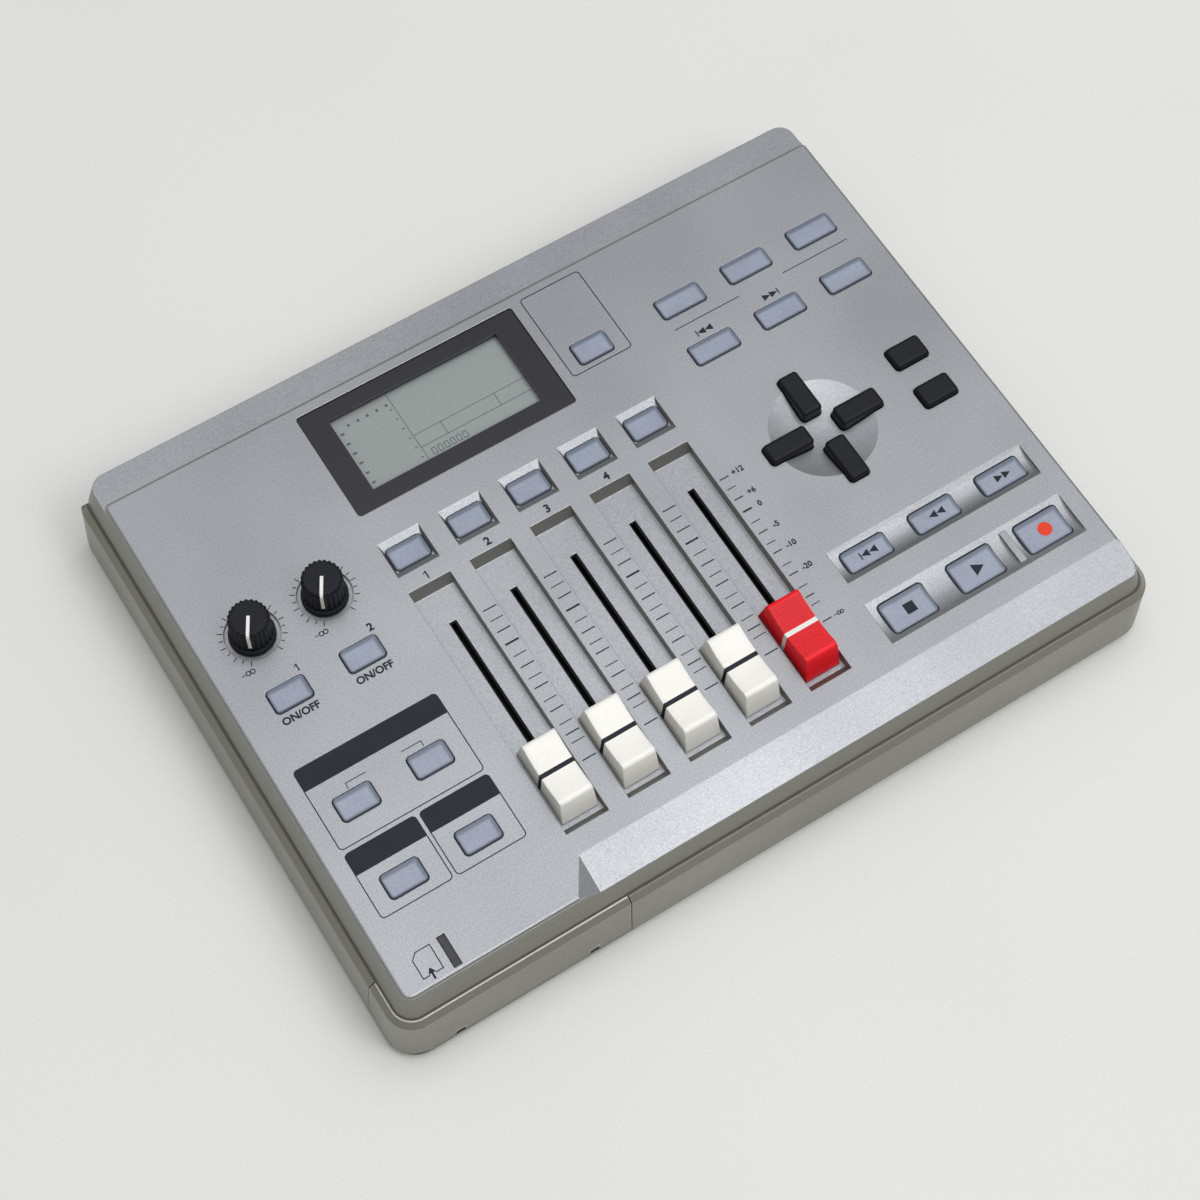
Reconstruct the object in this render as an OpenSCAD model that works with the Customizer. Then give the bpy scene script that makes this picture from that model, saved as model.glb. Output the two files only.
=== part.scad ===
// Tabletop multitrack recorder: a silver plastic case with five faders, thirty keys and two level knobs.
// Frame: origin on the table under the middle of the footprint, +X right, +Y rear, +Z up. Millimetres.

/* [Case] */
// Width of the flat top panel
panel_w = 243.8; // [238:0.1:260]
// Depth of the flat top panel, from its front edge to the rear step
panel_d = 172.6; // [156:0.1:190]
// Height of the top panel above the table
panel_h = 36; // [32.5:0.5:46]
// Thickness of the top plate
plate_t = 2.5; // [2.2:0.1:3.2]
// Wall thickness of the upper case and the rear wall
wall_t = 2.2; // [1.8:0.1:2.6]
// Radius of the panel's front corners
corner_r = 3; // [2:0.1:6]
// Radius of the rear corners
rear_corner_r = 4.5; // [3:0.1:7]
// Rounding along the panel's rim
rim_r = 0.9; // [0.4:0.1:0.9]
// Depth of the lower strip behind the panel
strip_d = 10.8; // [9:0.1:14]
// Drop from the panel to that strip and to the side shoulder
strip_drop = 2.7; // [2:0.1:3.5]
// How far the shoulder's top stands out from the panel edge
shoulder_out = 0.3; // [0.1:0.1:0.8]
// How far the upper case's skirt stands out from the panel edge
skirt_out = 2.7; // [2.4:0.1:3.2]
// Height of the sloping shoulder
shoulder_h = 7.8; // [6:0.1:8.5]
// Drop from the panel to the seam between the cases
seam_drop = 14; // [12:0.1:16]

/* [Lower case] */
// How far the lower case stands out from the panel edge at its base
base_flare = 6.6; // [5.8:0.1:9]
// Drop from the panel to that top edge
cowl_drop = 10.5; // [9:0.1:11.5]
// Thickness of that top edge
cowl_lip = 0.4; // [0.3:0.1:0.6]
// Width and height of the slanted brow under that top edge
brow = 1.8; // [1:0.1:2]
// Gap between the skirt and the lower case at the seam
seam_gap = 0.3; // [0.2:0.05:0.5]
// Thickness of the flared wall
flare_wall_t = 4.2; // [3.8:0.1:5]
// Radius of the base edge
edge_r = 2; // [1:0.1:3]
// Thickness of the floor plate
floor_t = 2.6; // [2.4:0.1:3.6]

/* [Front lip] */
// Depth of the sloping front lip
lip_d = 10.9; // [8:0.1:14]
// Drop of the lip at its front edge
lip_drop = 2.9; // [2:0.1:3.2]
// Distance from the panel's left edge to the lip's left end
lip_left = 60.4; // [50:0.1:80]
// Width of the slanted facet at the lip's left end
lip_facet = 7; // [3:0.1:12]

/* [Keys] */
// Width of a small key
key_w = 11.6; // [9:0.1:12.4]
// Depth of a small key
key_d = 7.6; // [6:0.1:8.4]
// Width of a wide key
wide_key_w = 15.1; // [12:0.1:17]
// Depth of a wide key
wide_key_d = 7.1; // [6:0.1:7.8]
// Depth of the stop, play and record keys
big_key_d = 10.1; // [8:0.1:11]
// Corner radius of the keys
key_r = 1.2; // [0.5:0.1:2]
// Bevel around the top of the keys
key_bevel = 0.6; // [0.3:0.1:0.9]
// Height of the plain keys above the panel
key_rise = 1; // [0.9:0.1:2]
// Height of the black keys above the panel
black_key_rise = 2; // [0.9:0.1:3]
// Height of the transport and track keys against the panel
sunk_key_rise = -0.4; // [-0.5:0.1:0.6]
// Clearance around a key in its hole
key_gap = 0.3; // [0.2:0.05:0.5]
// Travel of a key
key_travel = 0.8; // [0.4:0.1:1.2]
// How far a key's retaining flange reaches under the panel
flange_lip = 0.4; // [0.3:0.05:0.6]
// Thickness of the retaining flange
flange_t = 1; // [0.8:0.1:1.3]
// Clearance above the retaining flange
flange_gap = 0.2; // [0.1:0.05:0.3]
// Radius of a key's stem
stem_r = 2; // [1.5:0.1:2.5]

/* [Key layout] */
// Panel depth that the rows are measured on; on a deeper or shallower panel they spread evenly
layout_d = 172.6; // [165:0.1:180]
// Distance from the panel's left edge to the first left column
left_col = 17; // [15:0.1:20]
// Spacing of the left columns
left_pitch = 23.3; // [20:0.1:25]
// Distance from the panel's right edge to the last right column
right_col = 16.8; // [16:0.1:20]
// Spacing of the right columns
right_pitch = 23.85; // [20:0.05:25]
// Place of the middle track left or right of the panel's middle
track_mid = -14.2; // [-18:0.1:-10]
// Spacing of the tracks
track_pitch = 20.13; // [18.5:0.01:21]
// Distance from the panel's front edge to the input keys
input_row = 93; // [90:0.1:96]
// Distance from the panel's front edge to the effect keys
effect_row = 55.7; // [50:0.1:58]
// Distance from the panel's front edge to the metronome and bounce keys
bounce_row = 30; // [27:0.1:35]
// Distance from the panel's front edge to the track keys
track_row = 114.3; // [113:0.1:118]
// Distance from the rear step to the song row
song_row = 28.6; // [24:0.1:31]
// Distance from the rear step to the marker row
marker_row = 47.3; // [45:0.1:51]
// Distance from the panel's front edge to the enter key
enter_row = 93.2; // [91:0.1:97]
// Distance from the panel's front edge to the exit key
exit_row = 78.1; // [77:0.1:81]
// Distance from the panel's front edge to the rewind row
rewind_row = 45.2; // [43:0.1:47]
// Distance from the panel's front edge to the play row
play_row = 24.6; // [23:0.1:26]

/* [Key recesses] */
// Width of the bevelled recess around a track key, past the key hole on each side
bezel_x = 0.75; // [0.4:0.05:1.2]
// Depth of that recess front to rear, past the key hole on each side
bezel_y = 2.05; // [1:0.05:2.5]
// Sink of that recess below the panel
bezel_drop = 1.2; // [0.6:0.1:1.4]
// How far the transport troughs run past the key holes, left and right
trough_x = 2.6; // [1.5:0.1:3.2]
// How far the transport troughs run past the key holes, front and rear
trough_y = 1.7; // [1:0.1:2.2]
// Sink of the troughs at their middle
trough_drop = 1.6; // [1:0.1:1.8]
// Width of the rib beside the record key
rib_w = 2.2; // [1.5:0.1:3]
// Thickness of the panel under a recess
recess_t = 1.4; // [1:0.1:1.8]

/* [Cursor] */
// Width of a cursor key
cursor_w = 6.7; // [5:0.1:7.5]
// Length of a cursor key
cursor_len = 14.7; // [12:0.1:15.5]
// Height of the cursor keys above the panel
cursor_rise = 2.2; // [1:0.1:3]
// Distance from the panel's right edge to the middle of the cursor keys
cursor_col = 52.3; // [50:0.1:55]
// Distance from the panel's front edge to the middle of the cursor keys
cursor_row = 85.5; // [84:0.1:87]
// Gap between the flanges of neighbouring cursor keys
cursor_gap = 0.3; // [0.2:0.1:0.6]
// Radius of the round dish
dish_r = 16.3; // [12:0.1:18]
// Depth of the round dish
dish_drop = 2.4; // [1:0.1:2.8]

/* [Faders] */
// Travel of a fader on a panel of the layout's depth
fader_travel = 53; // [45:0.1:56]
// Distance from the panel's front edge to the middle of the travel
fader_row = 60.05; // [58:0.05:62]
// Length of a fader cap
cap_len = 24.5; // [18:0.1:25]
// Width of a fader cap at its foot
cap_w = 11.5; // [8:0.1:12]
// How much narrower a cap is at its top, on each side
cap_side_taper = 0.5; // [0.2:0.1:1.5]
// How much shorter a cap is at its top, at each end
cap_end_taper = 2.2; // [0.5:0.1:4]
// Height of a fader cap above the panel
cap_rise = 7.4; // [6.5:0.1:10]
// Depth of the hollow across a cap's top
cap_hollow = 1.9; // [0.6:0.1:2.2]
// Clearance between a cap and the channel floor
cap_float = 0.4; // [0.3:0.1:0.8]
// Clearance beside a cap in its channel
cap_side_gap = 0.8; // [0.4:0.1:1.2]
// Clearance at the ends of a cap's travel
cap_end_gap = 1.5; // [0.6:0.1:2]
// Depth of a fader channel
channel_drop = 3.2; // [2.6:0.1:3.6]
// Slant of the channel's sides over its depth
channel_side_run = 0.3; // [0.1:0.1:0.5]
// Slant of the channel's ends over its depth
channel_end_run = 2.3; // [1:0.1:3]
// Thickness of the panel around a channel
channel_t = 1.6; // [1.2:0.1:2]
// Thickness of a fader lever
lever_t = 1.2; // [0.8:0.1:1.6]
// Length of a fader lever along its travel
lever_d = 4.6; // [3:0.1:6]
// Depth of the lever's socket in the cap
lever_socket = 4; // [3:0.1:5]
// Clearance beside the lever in the slot
lever_gap = 0.55; // [0.3:0.05:0.8]
// Clearance of the lever at the slot's ends
slot_end_gap = 1; // [0.5:0.1:2]
// Width of a fader track
track_w = 8; // [7:0.1:10]
// Height of a fader track
track_h = 6.8; // [6:0.1:8]
// Wall of a fader track
track_t = 1; // [0.8:0.1:1.2]
// Clearance around the carriage in its track
carriage_gap = 0.3; // [0.2:0.05:0.5]
// Length of the carriage on a lever
carriage_len = 10; // [7:0.1:12]
// Clearance between a fader track and the channel above it
track_gap = 0.4; // [0.3:0.1:0.8]

/* [Level knobs] */
// Distance from the panel's front edge to the knobs
knob_row = 114.7; // [112:0.1:118]
// Radius of a knob's skirt
knob_skirt_r = 6.8; // [6.4:0.1:7.4]
// Height of a knob's skirt
knob_skirt_h = 2; // [1:0.1:3]
// Radius of a knob's grip at its foot
knob_r = 6.2; // [6:0.1:6.4]
// Radius of a knob's top before its flutes
knob_top_r = 5.8; // [5.5:0.1:6]
// Height of the sloping edge around a knob's top
knob_crown = 0.8; // [0.4:0.1:1.5]
// Height of a knob above the panel
knob_rise = 11; // [9:0.1:14]
// Number of flutes around a knob
knob_flutes = 18; // [12:1:24]
// Radius of a flute
flute_r = 0.7; // [0.4:0.1:0.8]
// Clearance between a knob and the dial recess
knob_gap = 0.3; // [0.2:0.1:0.6]
// Width of the dial recess past the knob's skirt
dial_margin = 1.3; // [0.8:0.1:2]
// Sink of the dial recess
dial_drop = 1.2; // [0.6:0.1:1.4]
// Radius of a pot shaft
shaft_r = 3; // [2.5:0.1:3.2]
// Running clearance of a pot shaft
shaft_gap = 0.05; // [0.03:0.01:0.08]
// Wall of the pot's bushing
bushing_t = 0.6; // [0.5:0.1:0.9]
// Clearance of the bushing in the panel
bushing_gap = 0.1; // [0.05:0.05:0.2]
// Width of a pot body
pot_w = 11; // [9.5:0.1:13]
// Height of a pot body
pot_h = 6.5; // [5.5:0.1:8]

/* [Display] */
// Width of the display lens
lens_w = 73.6; // [66:0.1:76]
// Depth of the display lens front to rear
lens_d = 37.8; // [34:0.1:39]
// Thickness of the display lens
lens_t = 1.5; // [1:0.1:1.7]
// Sink of the lens below the panel
lens_drop = 0.4; // [0.2:0.1:0.5]
// Clearance around the lens
lens_gap = 0.1; // [0.05:0.05:0.2]
// Width of the ledge that carries the lens
lens_ledge = 3; // [2:0.1:4]
// Distance from the rear step to the middle of the lens
lens_row = 22.8; // [21:0.1:25]
// Place of the lens left or right of the panel's middle
lens_mid = -24.2; // [-27:0.1:-24]
// Clearance between the display module and the lens ledge
lcd_gap = 0.3; // [0.2:0.1:0.6]
// How far the display module stays inside the ledge's outline, on each side
lcd_inset = 4; // [3:0.1:6]
// Width of the card lamp
lamp_w = 2.3; // [1.5:0.1:3]
// Length of the card lamp
lamp_len = 9.6; // [6:0.1:10]
// Place of the card lamp from the panel's front edge to its middle
lamp_row = 6.3; // [6:0.1:7]

/* [Inside] */
// Thickness of the main board
board_t = 1.6; // [1.2:0.1:2]
// Distance from the panel's side edges to the main board
board_side = 14; // [13.5:0.1:18]
// Distance from the panel's front edge to the main board
board_front = 6; // [4:0.1:8]
// Distance from the rear step to the main board
board_rear = 8; // [6:0.1:12]
// Radius of the posts under the main board
post_r = 3; // [2:0.1:4]
// Distance from the board's edges to the posts
post_inset = 10; // [6:0.1:14]
// Width of a key switch
switch_w = 6; // [5:0.1:7]
// Height of a key switch's body
switch_h = 3.5; // [3:0.1:4]
// Height of a key switch's plunger at the end of its travel
plunger_h = 0.8; // [0.4:0.1:1]
// Radius of a key switch's plunger
plunger_r = 1.7; // [1:0.1:2]
// Clearance left above the plunger when a key is fully down
press_gap = 0.1; // [0.05:0.05:0.3]

/* [Card bay] */
// Distance from the panel's left edge to the middle of the card socket
card_col = 37; // [36.5:0.1:42]
// Width of the card socket
card_socket_w = 42; // [40:0.1:44]
// Length of the card socket front to rear
card_socket_d = 38; // [34:0.1:45]
// Height of the card socket
card_socket_h = 4.5; // [4:0.1:5]
// Wall at the rear of the card socket
card_socket_t = 4; // [2:0.1:6]
// Width of the card slot
card_slot_w = 38; // [37:0.1:39]
// Height of the card slot
card_slot_h = 1.2; // [0.9:0.1:1.6]
// Distance from the panel's front edge back to the socket's face
card_socket_front = 1; // [0.8:0.1:3]
// Distance from the panel's left edge to the door's right seam
door_right = 67.4; // [60:0.1:80]
// Distance from the panel's front edge to the door's rear seam on the left side
door_rear = 11.9; // [8:0.1:20]
// Thickness of the card door
door_t = 1.4; // [1.2:0.1:1.8]
// Clearance around the card door
door_gap = 0.3; // [0.2:0.05:0.5]
// Height of the door's lower edge above the base
door_foot = 3.4; // [3:0.1:5]
// Radius of the door's hinge pins
hinge_r = 0.6; // [0.5:0.05:0.7]
// Wall of the lugs around the hinge pins
lug_t = 0.7; // [0.6:0.05:0.8]
// Radius of the groove that the door's lower edge swings in
groove_r = 2.3; // [2.2:0.05:2.4]
// Running clearance of the hinge pins
hinge_gap = 0.05; // [0.03:0.01:0.08]
// Width of a hinge lug
lug_w = 2.4; // [2:0.1:4]
// Distance from the door's ends to its hinge lugs
lug_inset = 12; // [10:0.1:16]

/* [Rear] */
// Thickness of the rear panel
rear_t = 2; // [1.5:0.1:2.5]
// Distance from the panel's side edges to the rear window
window_side = 10; // [9:0.1:16]
// Height of the rear window's lower edge above the floor plate
window_foot = 1; // [0.8:0.1:1.3]
// Distance from the strip down to the rear window's upper edge
window_top = 4.5; // [3.5:0.1:6]
// How far the rear panel reaches past the window
window_lap = 3; // [2:0.1:4]
// Clearance between the sockets and the main board
socket_gap = 1.4; // [0.8:0.1:1.8]
// Distance from the panel's left edge to the first input jack
input_jack_col = 19.9; // [19.5:0.1:20.5]
// Distance from the panel's left edge to the pedal jack
pedal_jack_col = 67.9; // [60:0.1:75]
// Distance from the panel's left edge to the first output jack
output_jack_col = 101.9; // [95:0.1:105]
// Spacing of neighbouring jacks
jack_pitch = 20; // [17:0.1:21]
// Distance from the panel's right edge to the supply inlet
inlet_col = 78.9; // [75:0.1:82]
// Distance from the panel's right edge to the power switch
switch_col = 48.9; // [40:0.1:60]
// Radius of a jack socket's bore
jack_r = 3.25; // [3.2:0.01:3.3]
// Depth of a jack socket's bore
jack_bore = 20; // [15:0.5:24]
// Radius of a jack's nose
jack_nose_r = 4.6; // [4.2:0.1:5]
// Clearance of a nose in the rear panel
nose_gap = 0.1; // [0.05:0.05:0.2]
// Height of a jack's nut
nut_h = 1.6; // [1:0.1:1.9]
// Radius of a jack's nut
nut_r = 6.2; // [5.6:0.1:7]
// Width and height of a jack's body
jack_w = 12; // [10.8:0.1:13]
// Length of a jack's body
jack_len = 24; // [22:0.5:28]
// Radius of the supply inlet
inlet_r = 2.75; // [2.5:0.05:3.5]
// Radius of the supply inlet's pin
inlet_pin_r = 1; // [0.6:0.05:1.2]
// Depth of the supply inlet
inlet_bore = 9; // [7:0.5:11]
// Width of the power slider's button
slider_w = 4; // [3:0.1:5]
// Height of the power slider's button
slider_h = 3; // [2.5:0.1:4]
// How far the power slider stands out from the rear panel
slider_rise = 1.8; // [1:0.1:2]
// Travel of the power slider
slider_travel = 3; // [2:0.1:4]
// Clearance around the power slider
slider_gap = 0.3; // [0.2:0.05:0.5]
// Wall of the power switch's body
slider_wall = 1; // [0.8:0.1:1.5]
// Depth of the power slider's carriage
slider_seat = 3; // [2:0.1:4]
// How far that carriage reaches past the button on each side
slider_lip = 1; // [0.8:0.1:1.5]

/* [Underside] */
// Height of the rubber feet
foot_h = 2; // [1.5:0.1:4]
// Radius of the rubber feet
foot_r = 6; // [4:0.1:7]
// Distance from the panel's side edges to the feet
foot_side = 22; // [20:0.1:30]
// Distance from the panel's front edge and the rear step to the feet
foot_end = 12; // [10:0.1:20]
// Distance from the panel's side edges to the case screws
screw_side = 9; // [8.5:0.1:9.5]
// Distance from the panel's front edge to the front screws
screw_front = 10; // [9.5:0.1:12]
// Distance from the panel's front edge to the middle screws
screw_middle = 68.4; // [68:0.1:69]
// Distance from the rear step to the rear screws
screw_rear = 8; // [7:0.1:12]
// Radius of a screw boss
boss_r = 4; // [3.7:0.1:4.2]
// Radius of a screw's shank
screw_r = 1.5; // [1.2:0.1:1.6]
// Radius of a screw's head
screw_head_r = 2.8; // [2.4:0.1:3]
// Height of a screw's head
screw_head_h = 1.8; // [1.4:0.1:2.2]
// Clearance around a screw
screw_gap = 0.2; // [0.1:0.05:0.3]
// Depth of the hole that a screw's head sinks into
screw_sink = 6; // [4:0.1:8]
// Length of a screw's thread in the upper case
screw_bite = 7; // [5:0.1:8]
// Width of the battery compartment
battery_w = 62; // [58:0.5:66]
// Depth of the battery compartment front to rear
battery_d = 58; // [54:0.5:62]
// Clearance between the battery compartment and the main board
battery_gap = 1.7; // [1:0.1:2.4]
// Place of the battery compartment right of the panel's middle
battery_mid = 30; // [25:0.5:35]
// Distance from the panel's front edge to the middle of the battery compartment
battery_row = 98; // [90:0.5:105]
// Wall of the battery compartment
battery_t = 1.6; // [1.2:0.1:1.8]
// Thickness of the battery cover
cover_t = 1.5; // [1.2:0.1:1.7]
// Lap of the battery cover on the floor's ledge
cover_lap = 2; // [1.5:0.1:3]
// Travel that frees the battery cover
cover_travel = 4; // [3:0.1:6]
// Clearance around the battery cover
cover_gap = 0.3; // [0.2:0.05:0.4]
// Width of a tongue on the battery cover
tongue_w = 9; // [6:0.1:14]
// Reach of a tongue over the floor plate
tongue_reach = 2.5; // [2:0.1:2.9]
// Thickness of a tongue
tongue_t = 1.2; // [1:0.1:1.6]

/* [Hidden] */
$fn = 48;
eps = 0.01;
over = 1;
silver = "#A5A7AC";
silver_dark = "#8A8A86";
key_blue = "#A0A5B9";
black = "#232328";
white = "#F0EEE6";
red = "#E1232D";
green = "#2F6B45";
metal = "#C8C9CC";

body_d = base_flare + panel_d + strip_d;
front_y = base_flare - body_d / 2;
step_y = front_y + panel_d;
rear_y = body_d / 2;
left_edge = -panel_w / 2;
right_edge = panel_w / 2;
strip_z = panel_h - strip_drop;
under_z = panel_h - plate_t;
shelf_z = strip_z - wall_t;
seam_z = panel_h - seam_drop;
cowl_z = panel_h - cowl_drop;
cowl_in = skirt_out + seam_gap;
cowl_out = cowl_in + cowl_lip;
brow_z = cowl_z - brow;
brow_out = cowl_out + brow;
floor_z = foot_h + floor_t;
fold_y = front_y + lip_d;
row_scale = panel_d / layout_d;

channel_z = panel_h - channel_drop;
channel_under = channel_z - channel_t;
board_top = channel_under - track_gap - track_h;
board_bottom = board_top - board_t;
stem_z = board_top + switch_h + plunger_h + key_travel + press_gap;
trough_under = panel_h - trough_drop - recess_t;
dish_under = panel_h - dish_drop - recess_t;

flange_reach = key_gap + flange_lip;
cursor_x = right_edge - cursor_col;
cursor_y = from_front(cursor_row);
cursor_arm = cursor_w / 2 + 2 * flange_reach + cursor_gap + cursor_len / 2;

function left_x(i) = left_edge + left_col + i * left_pitch;
function right_x(i) = right_edge - right_col + (i - 2) * right_pitch;
function track_x(i) = track_mid + (i - 2) * track_pitch;
function from_front(v) = front_y + v * row_scale;
function from_step(v) = step_y - v * row_scale;

// A key: name, x, y, width, depth, height above the panel, underside of the panel there, colour.
function small_key(name, x, y, rise, tint) = [name, x, y, key_w, key_d, rise, under_z, tint];
function wide_key(name, i, y, depth, rise, under) =
    [name, right_x(i), y, wide_key_w, depth, rise, under, key_blue];
function cursor_key(name, dx, dy) =
    [name, cursor_x + dx * cursor_arm, cursor_y + dy * cursor_arm,
     dx == 0 ? cursor_w : cursor_len, dx == 0 ? cursor_len : cursor_w, cursor_rise, dish_under, black];

TRACK_KEYS = [for (i = [0:4])
    small_key(i < 4 ? str("track_key_", i + 1) : "master_key",
              track_x(i), from_front(track_row), sunk_key_rise, key_blue)];
PLAIN_KEYS = [
    small_key("input_key_1", left_x(0), from_front(input_row), key_rise, key_blue),
    small_key("input_key_2", left_x(1), from_front(input_row), key_rise, key_blue),
    small_key("effect_key_1", left_x(0), from_front(effect_row), key_rise, key_blue),
    small_key("effect_key_2", left_x(1), from_front(effect_row), key_rise, key_blue),
    small_key("metronome_key", left_x(0), from_front(bounce_row), key_rise, key_blue),
    small_key("bounce_key", left_x(1), from_front(bounce_row), key_rise, key_blue),
    small_key("parameter_key", track_x(4), from_step(song_row), key_rise, key_blue),
    small_key("enter_key", right_x(2), from_front(enter_row), black_key_rise, black),
    small_key("exit_key", right_x(2), from_front(exit_row), black_key_rise, black),
    wide_key("song_key", 0, from_step(song_row), wide_key_d, key_rise, under_z),
    wide_key("punch_key", 1, from_step(song_row), wide_key_d, key_rise, under_z),
    wide_key("repeat_key", 2, from_step(song_row), wide_key_d, key_rise, under_z),
    wide_key("marker_back_key", 0, from_step(marker_row), wide_key_d, key_rise, under_z),
    wide_key("marker_next_key", 1, from_step(marker_row), wide_key_d, key_rise, under_z),
    wide_key("marker_set_key", 2, from_step(marker_row), wide_key_d, key_rise, under_z)
];
TRANSPORT_KEYS = [
    wide_key("zero_key", 0, from_front(rewind_row), wide_key_d, sunk_key_rise, trough_under),
    wide_key("rewind_key", 1, from_front(rewind_row), wide_key_d, sunk_key_rise, trough_under),
    wide_key("forward_key", 2, from_front(rewind_row), wide_key_d, sunk_key_rise, trough_under),
    wide_key("stop_key", 0, from_front(play_row), big_key_d, sunk_key_rise, trough_under),
    wide_key("play_key", 1, from_front(play_row), big_key_d, sunk_key_rise, trough_under),
    wide_key("record_key", 2, from_front(play_row), big_key_d, sunk_key_rise, trough_under)
];
CURSOR_KEYS = [
    cursor_key("cursor_up_key", 0, 1),
    cursor_key("cursor_down_key", 0, -1),
    cursor_key("cursor_left_key", -1, 0),
    cursor_key("cursor_right_key", 1, 0)
];
KEYS = concat(PLAIN_KEYS, TRACK_KEYS, TRANSPORT_KEYS, CURSOR_KEYS);

channel_w = cap_w + 2 * cap_side_gap + 2 * channel_side_run;
fader_run = fader_travel * row_scale;
channel_floor_len = fader_run + cap_len + 2 * cap_end_gap;
channel_len = channel_floor_len + 2 * channel_end_run;
slot_w = lever_t + 2 * lever_gap;
slot_len = fader_run + lever_d + 2 * slot_end_gap;
fader_y = from_front(fader_row);
cap_rest_y = fader_y - fader_run / 2;
cap_z = channel_z + cap_float;
cap_top = panel_h + cap_rise;
track_top = board_top + track_h;
track_len = fader_run + carriage_len + 2 * carriage_gap + 2 * track_t;

knob_y = from_front(knob_row);
dial_z = panel_h - dial_drop;
knob_z = dial_z + knob_gap;
knob_top = panel_h + knob_rise;
bushing_r = shaft_r + shaft_gap + bushing_t;
shaft_z = board_top + 1;
shaft_top = knob_top - 2;

lens_y = from_step(lens_row);
lens_z = panel_h - lens_drop - lens_t;
ledge_z = min(under_z, lens_z - 0.8);
lamp_x = left_x(0);
lamp_y = from_front(lamp_row);

window_z0 = floor_z + window_foot;
window_z1 = strip_z - window_top;
rear_face = rear_y - wall_t;
socket_z = board_bottom - socket_gap - jack_w / 2;
switch_x = right_edge - switch_col;
inlet_x = right_edge - inlet_col;
JACK_X = [for (c = [input_jack_col, input_jack_col + jack_pitch, pedal_jack_col, output_jack_col,
                    output_jack_col + jack_pitch, output_jack_col + 2 * jack_pitch])
    left_edge + c];

door_x = left_edge + door_right;
door_y = from_front(door_rear);
door_z = foot_h + door_foot;
function flare_at(z) = brow_out + (base_flare - brow_out) * (brow_z - z) / (brow_z - foot_h - edge_r);
lug_r = hinge_r + lug_t;
hinge_z = door_z + lug_r;
hinge_y = front_y - flare_at(hinge_z) + lug_r;
LUG_X = [left_edge + lug_inset, door_x - lug_inset];

battery_x = battery_mid;
battery_h = board_bottom - battery_gap - battery_t - floor_z;
battery_y = from_front(battery_row);
cover_w = battery_w + 2 * cover_lap;
cover_d = battery_d + 2 * cover_lap;
SCREWS = [for (s = [-1, 1], y = [from_front(screw_front), from_front(screw_middle), from_step(screw_rear)])
    [s * (panel_w / 2 - screw_side), y]];
FEET = [for (s = [-1, 1], y = [from_front(foot_end), from_step(foot_end)])
    [s * (panel_w / 2 - foot_side), y]];
board_x1 = panel_w / 2 - board_side;
board_y0 = from_front(board_front);
board_y1 = from_step(board_rear);
POSTS = [for (s = [-1, 1], y = [board_y0 + post_inset + card_socket_d, board_y1 - post_inset - jack_len])
    [s * (board_x1 - post_inset), y]];

// Flat outline with round corners.
module rounded(w, d, r) {
    square([w - 2 * r, d], center = true);
    square([w, d - 2 * r], center = true);
    for (x = [-1, 1], y = [-1, 1])
        translate([x * (w / 2 - r), y * (d / 2 - r)])
            circle(r);
}

// Upright block with round corners between two heights.
module rounded_block(w, d, r, z0, z1) {
    translate([0, 0, z0])
        linear_extrude(z1 - z0)
            rounded(w, d, r);
}

// Plain block from its middle in plan and two heights.
module block(w, d, z0, z1) {
    translate([-w / 2, -d / 2, z0])
        cube([w, d, z1 - z0]);
}

// Four-sided funnel: w and d at z1, narrower by the runs at z0.
module funnel(w, d, run_x, run_y, z0, z1) {
    polyhedron(
        points = [for (s = [[1, z0], [0, z1]], c = [[-1, -1], [1, -1], [1, 1], [-1, 1]])
            [c[0] * (w / 2 - s[0] * run_x), c[1] * (d / 2 - s[0] * run_y), s[1]]],
        faces = [[0, 1, 2, 3], [7, 6, 5, 4], [4, 5, 1, 0], [5, 6, 2, 1], [6, 7, 3, 2], [7, 4, 0, 3]]);
}

// Body that follows the panel's outline, widened at each height by a wall profile of [out, z] from the top down.
module swept(profile, rear_edge, rear_r) {
    z1 = profile[0][1];
    z0 = profile[len(profile) - 1][1];
    front_cy = front_y + corner_r;
    rear_cy = rear_edge - rear_r;
    half = [for (p = profile) [panel_w / 2 + p[0], p[1]]];
    translate([0, rear_cy, 0])
        rotate([90, 0, 0])
            linear_extrude(rear_cy - front_cy)
                polygon(concat(half, [for (i = [len(half) - 1:-1:0]) [-half[i][0], half[i][1]]]));
    for (end = [[front_cy, -1, corner_r], [rear_cy, 1, rear_r]]) {
        cx = panel_w / 2 - end[2];
        edge = concat([[0, z1]], [for (p = profile) [end[2] + p[0], p[1]]], [[0, z0]]);
        translate([-cx, end[0], 0])
            rotate([90, 0, 90])
                linear_extrude(2 * cx)
                    polygon([for (p = edge) [end[1] * p[0], p[1]]]);
        for (s = [-1, 1])
            translate([s * cx, end[0], 0])
                rotate([0, 0, s * end[1] > 0 ? (s > 0 ? 0 : 180) : (s > 0 ? -90 : 90)])
                    rotate_extrude(angle = 90)
                        polygon(edge);
    }
}

// Everything in front of a plane across the depth.
module front_of(y) {
    translate([-panel_w, y - 3 * panel_d, -panel_h])
        cube([2 * panel_w, 3 * panel_d, 3 * panel_h]);
}

function shoulder_at(z) = shoulder_out + (skirt_out - shoulder_out) * (strip_z - z) / shoulder_h;
function flare(in, above) = concat(
    [[cowl_out - above - in, cowl_z + above], [brow_out - in, brow_z], [base_flare - in, foot_h + edge_r]],
    [for (a = [22.5:22.5:90]) [base_flare - in - edge_r * (1 - cos(a)), foot_h + edge_r * (1 - sin(a))]]);

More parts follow.
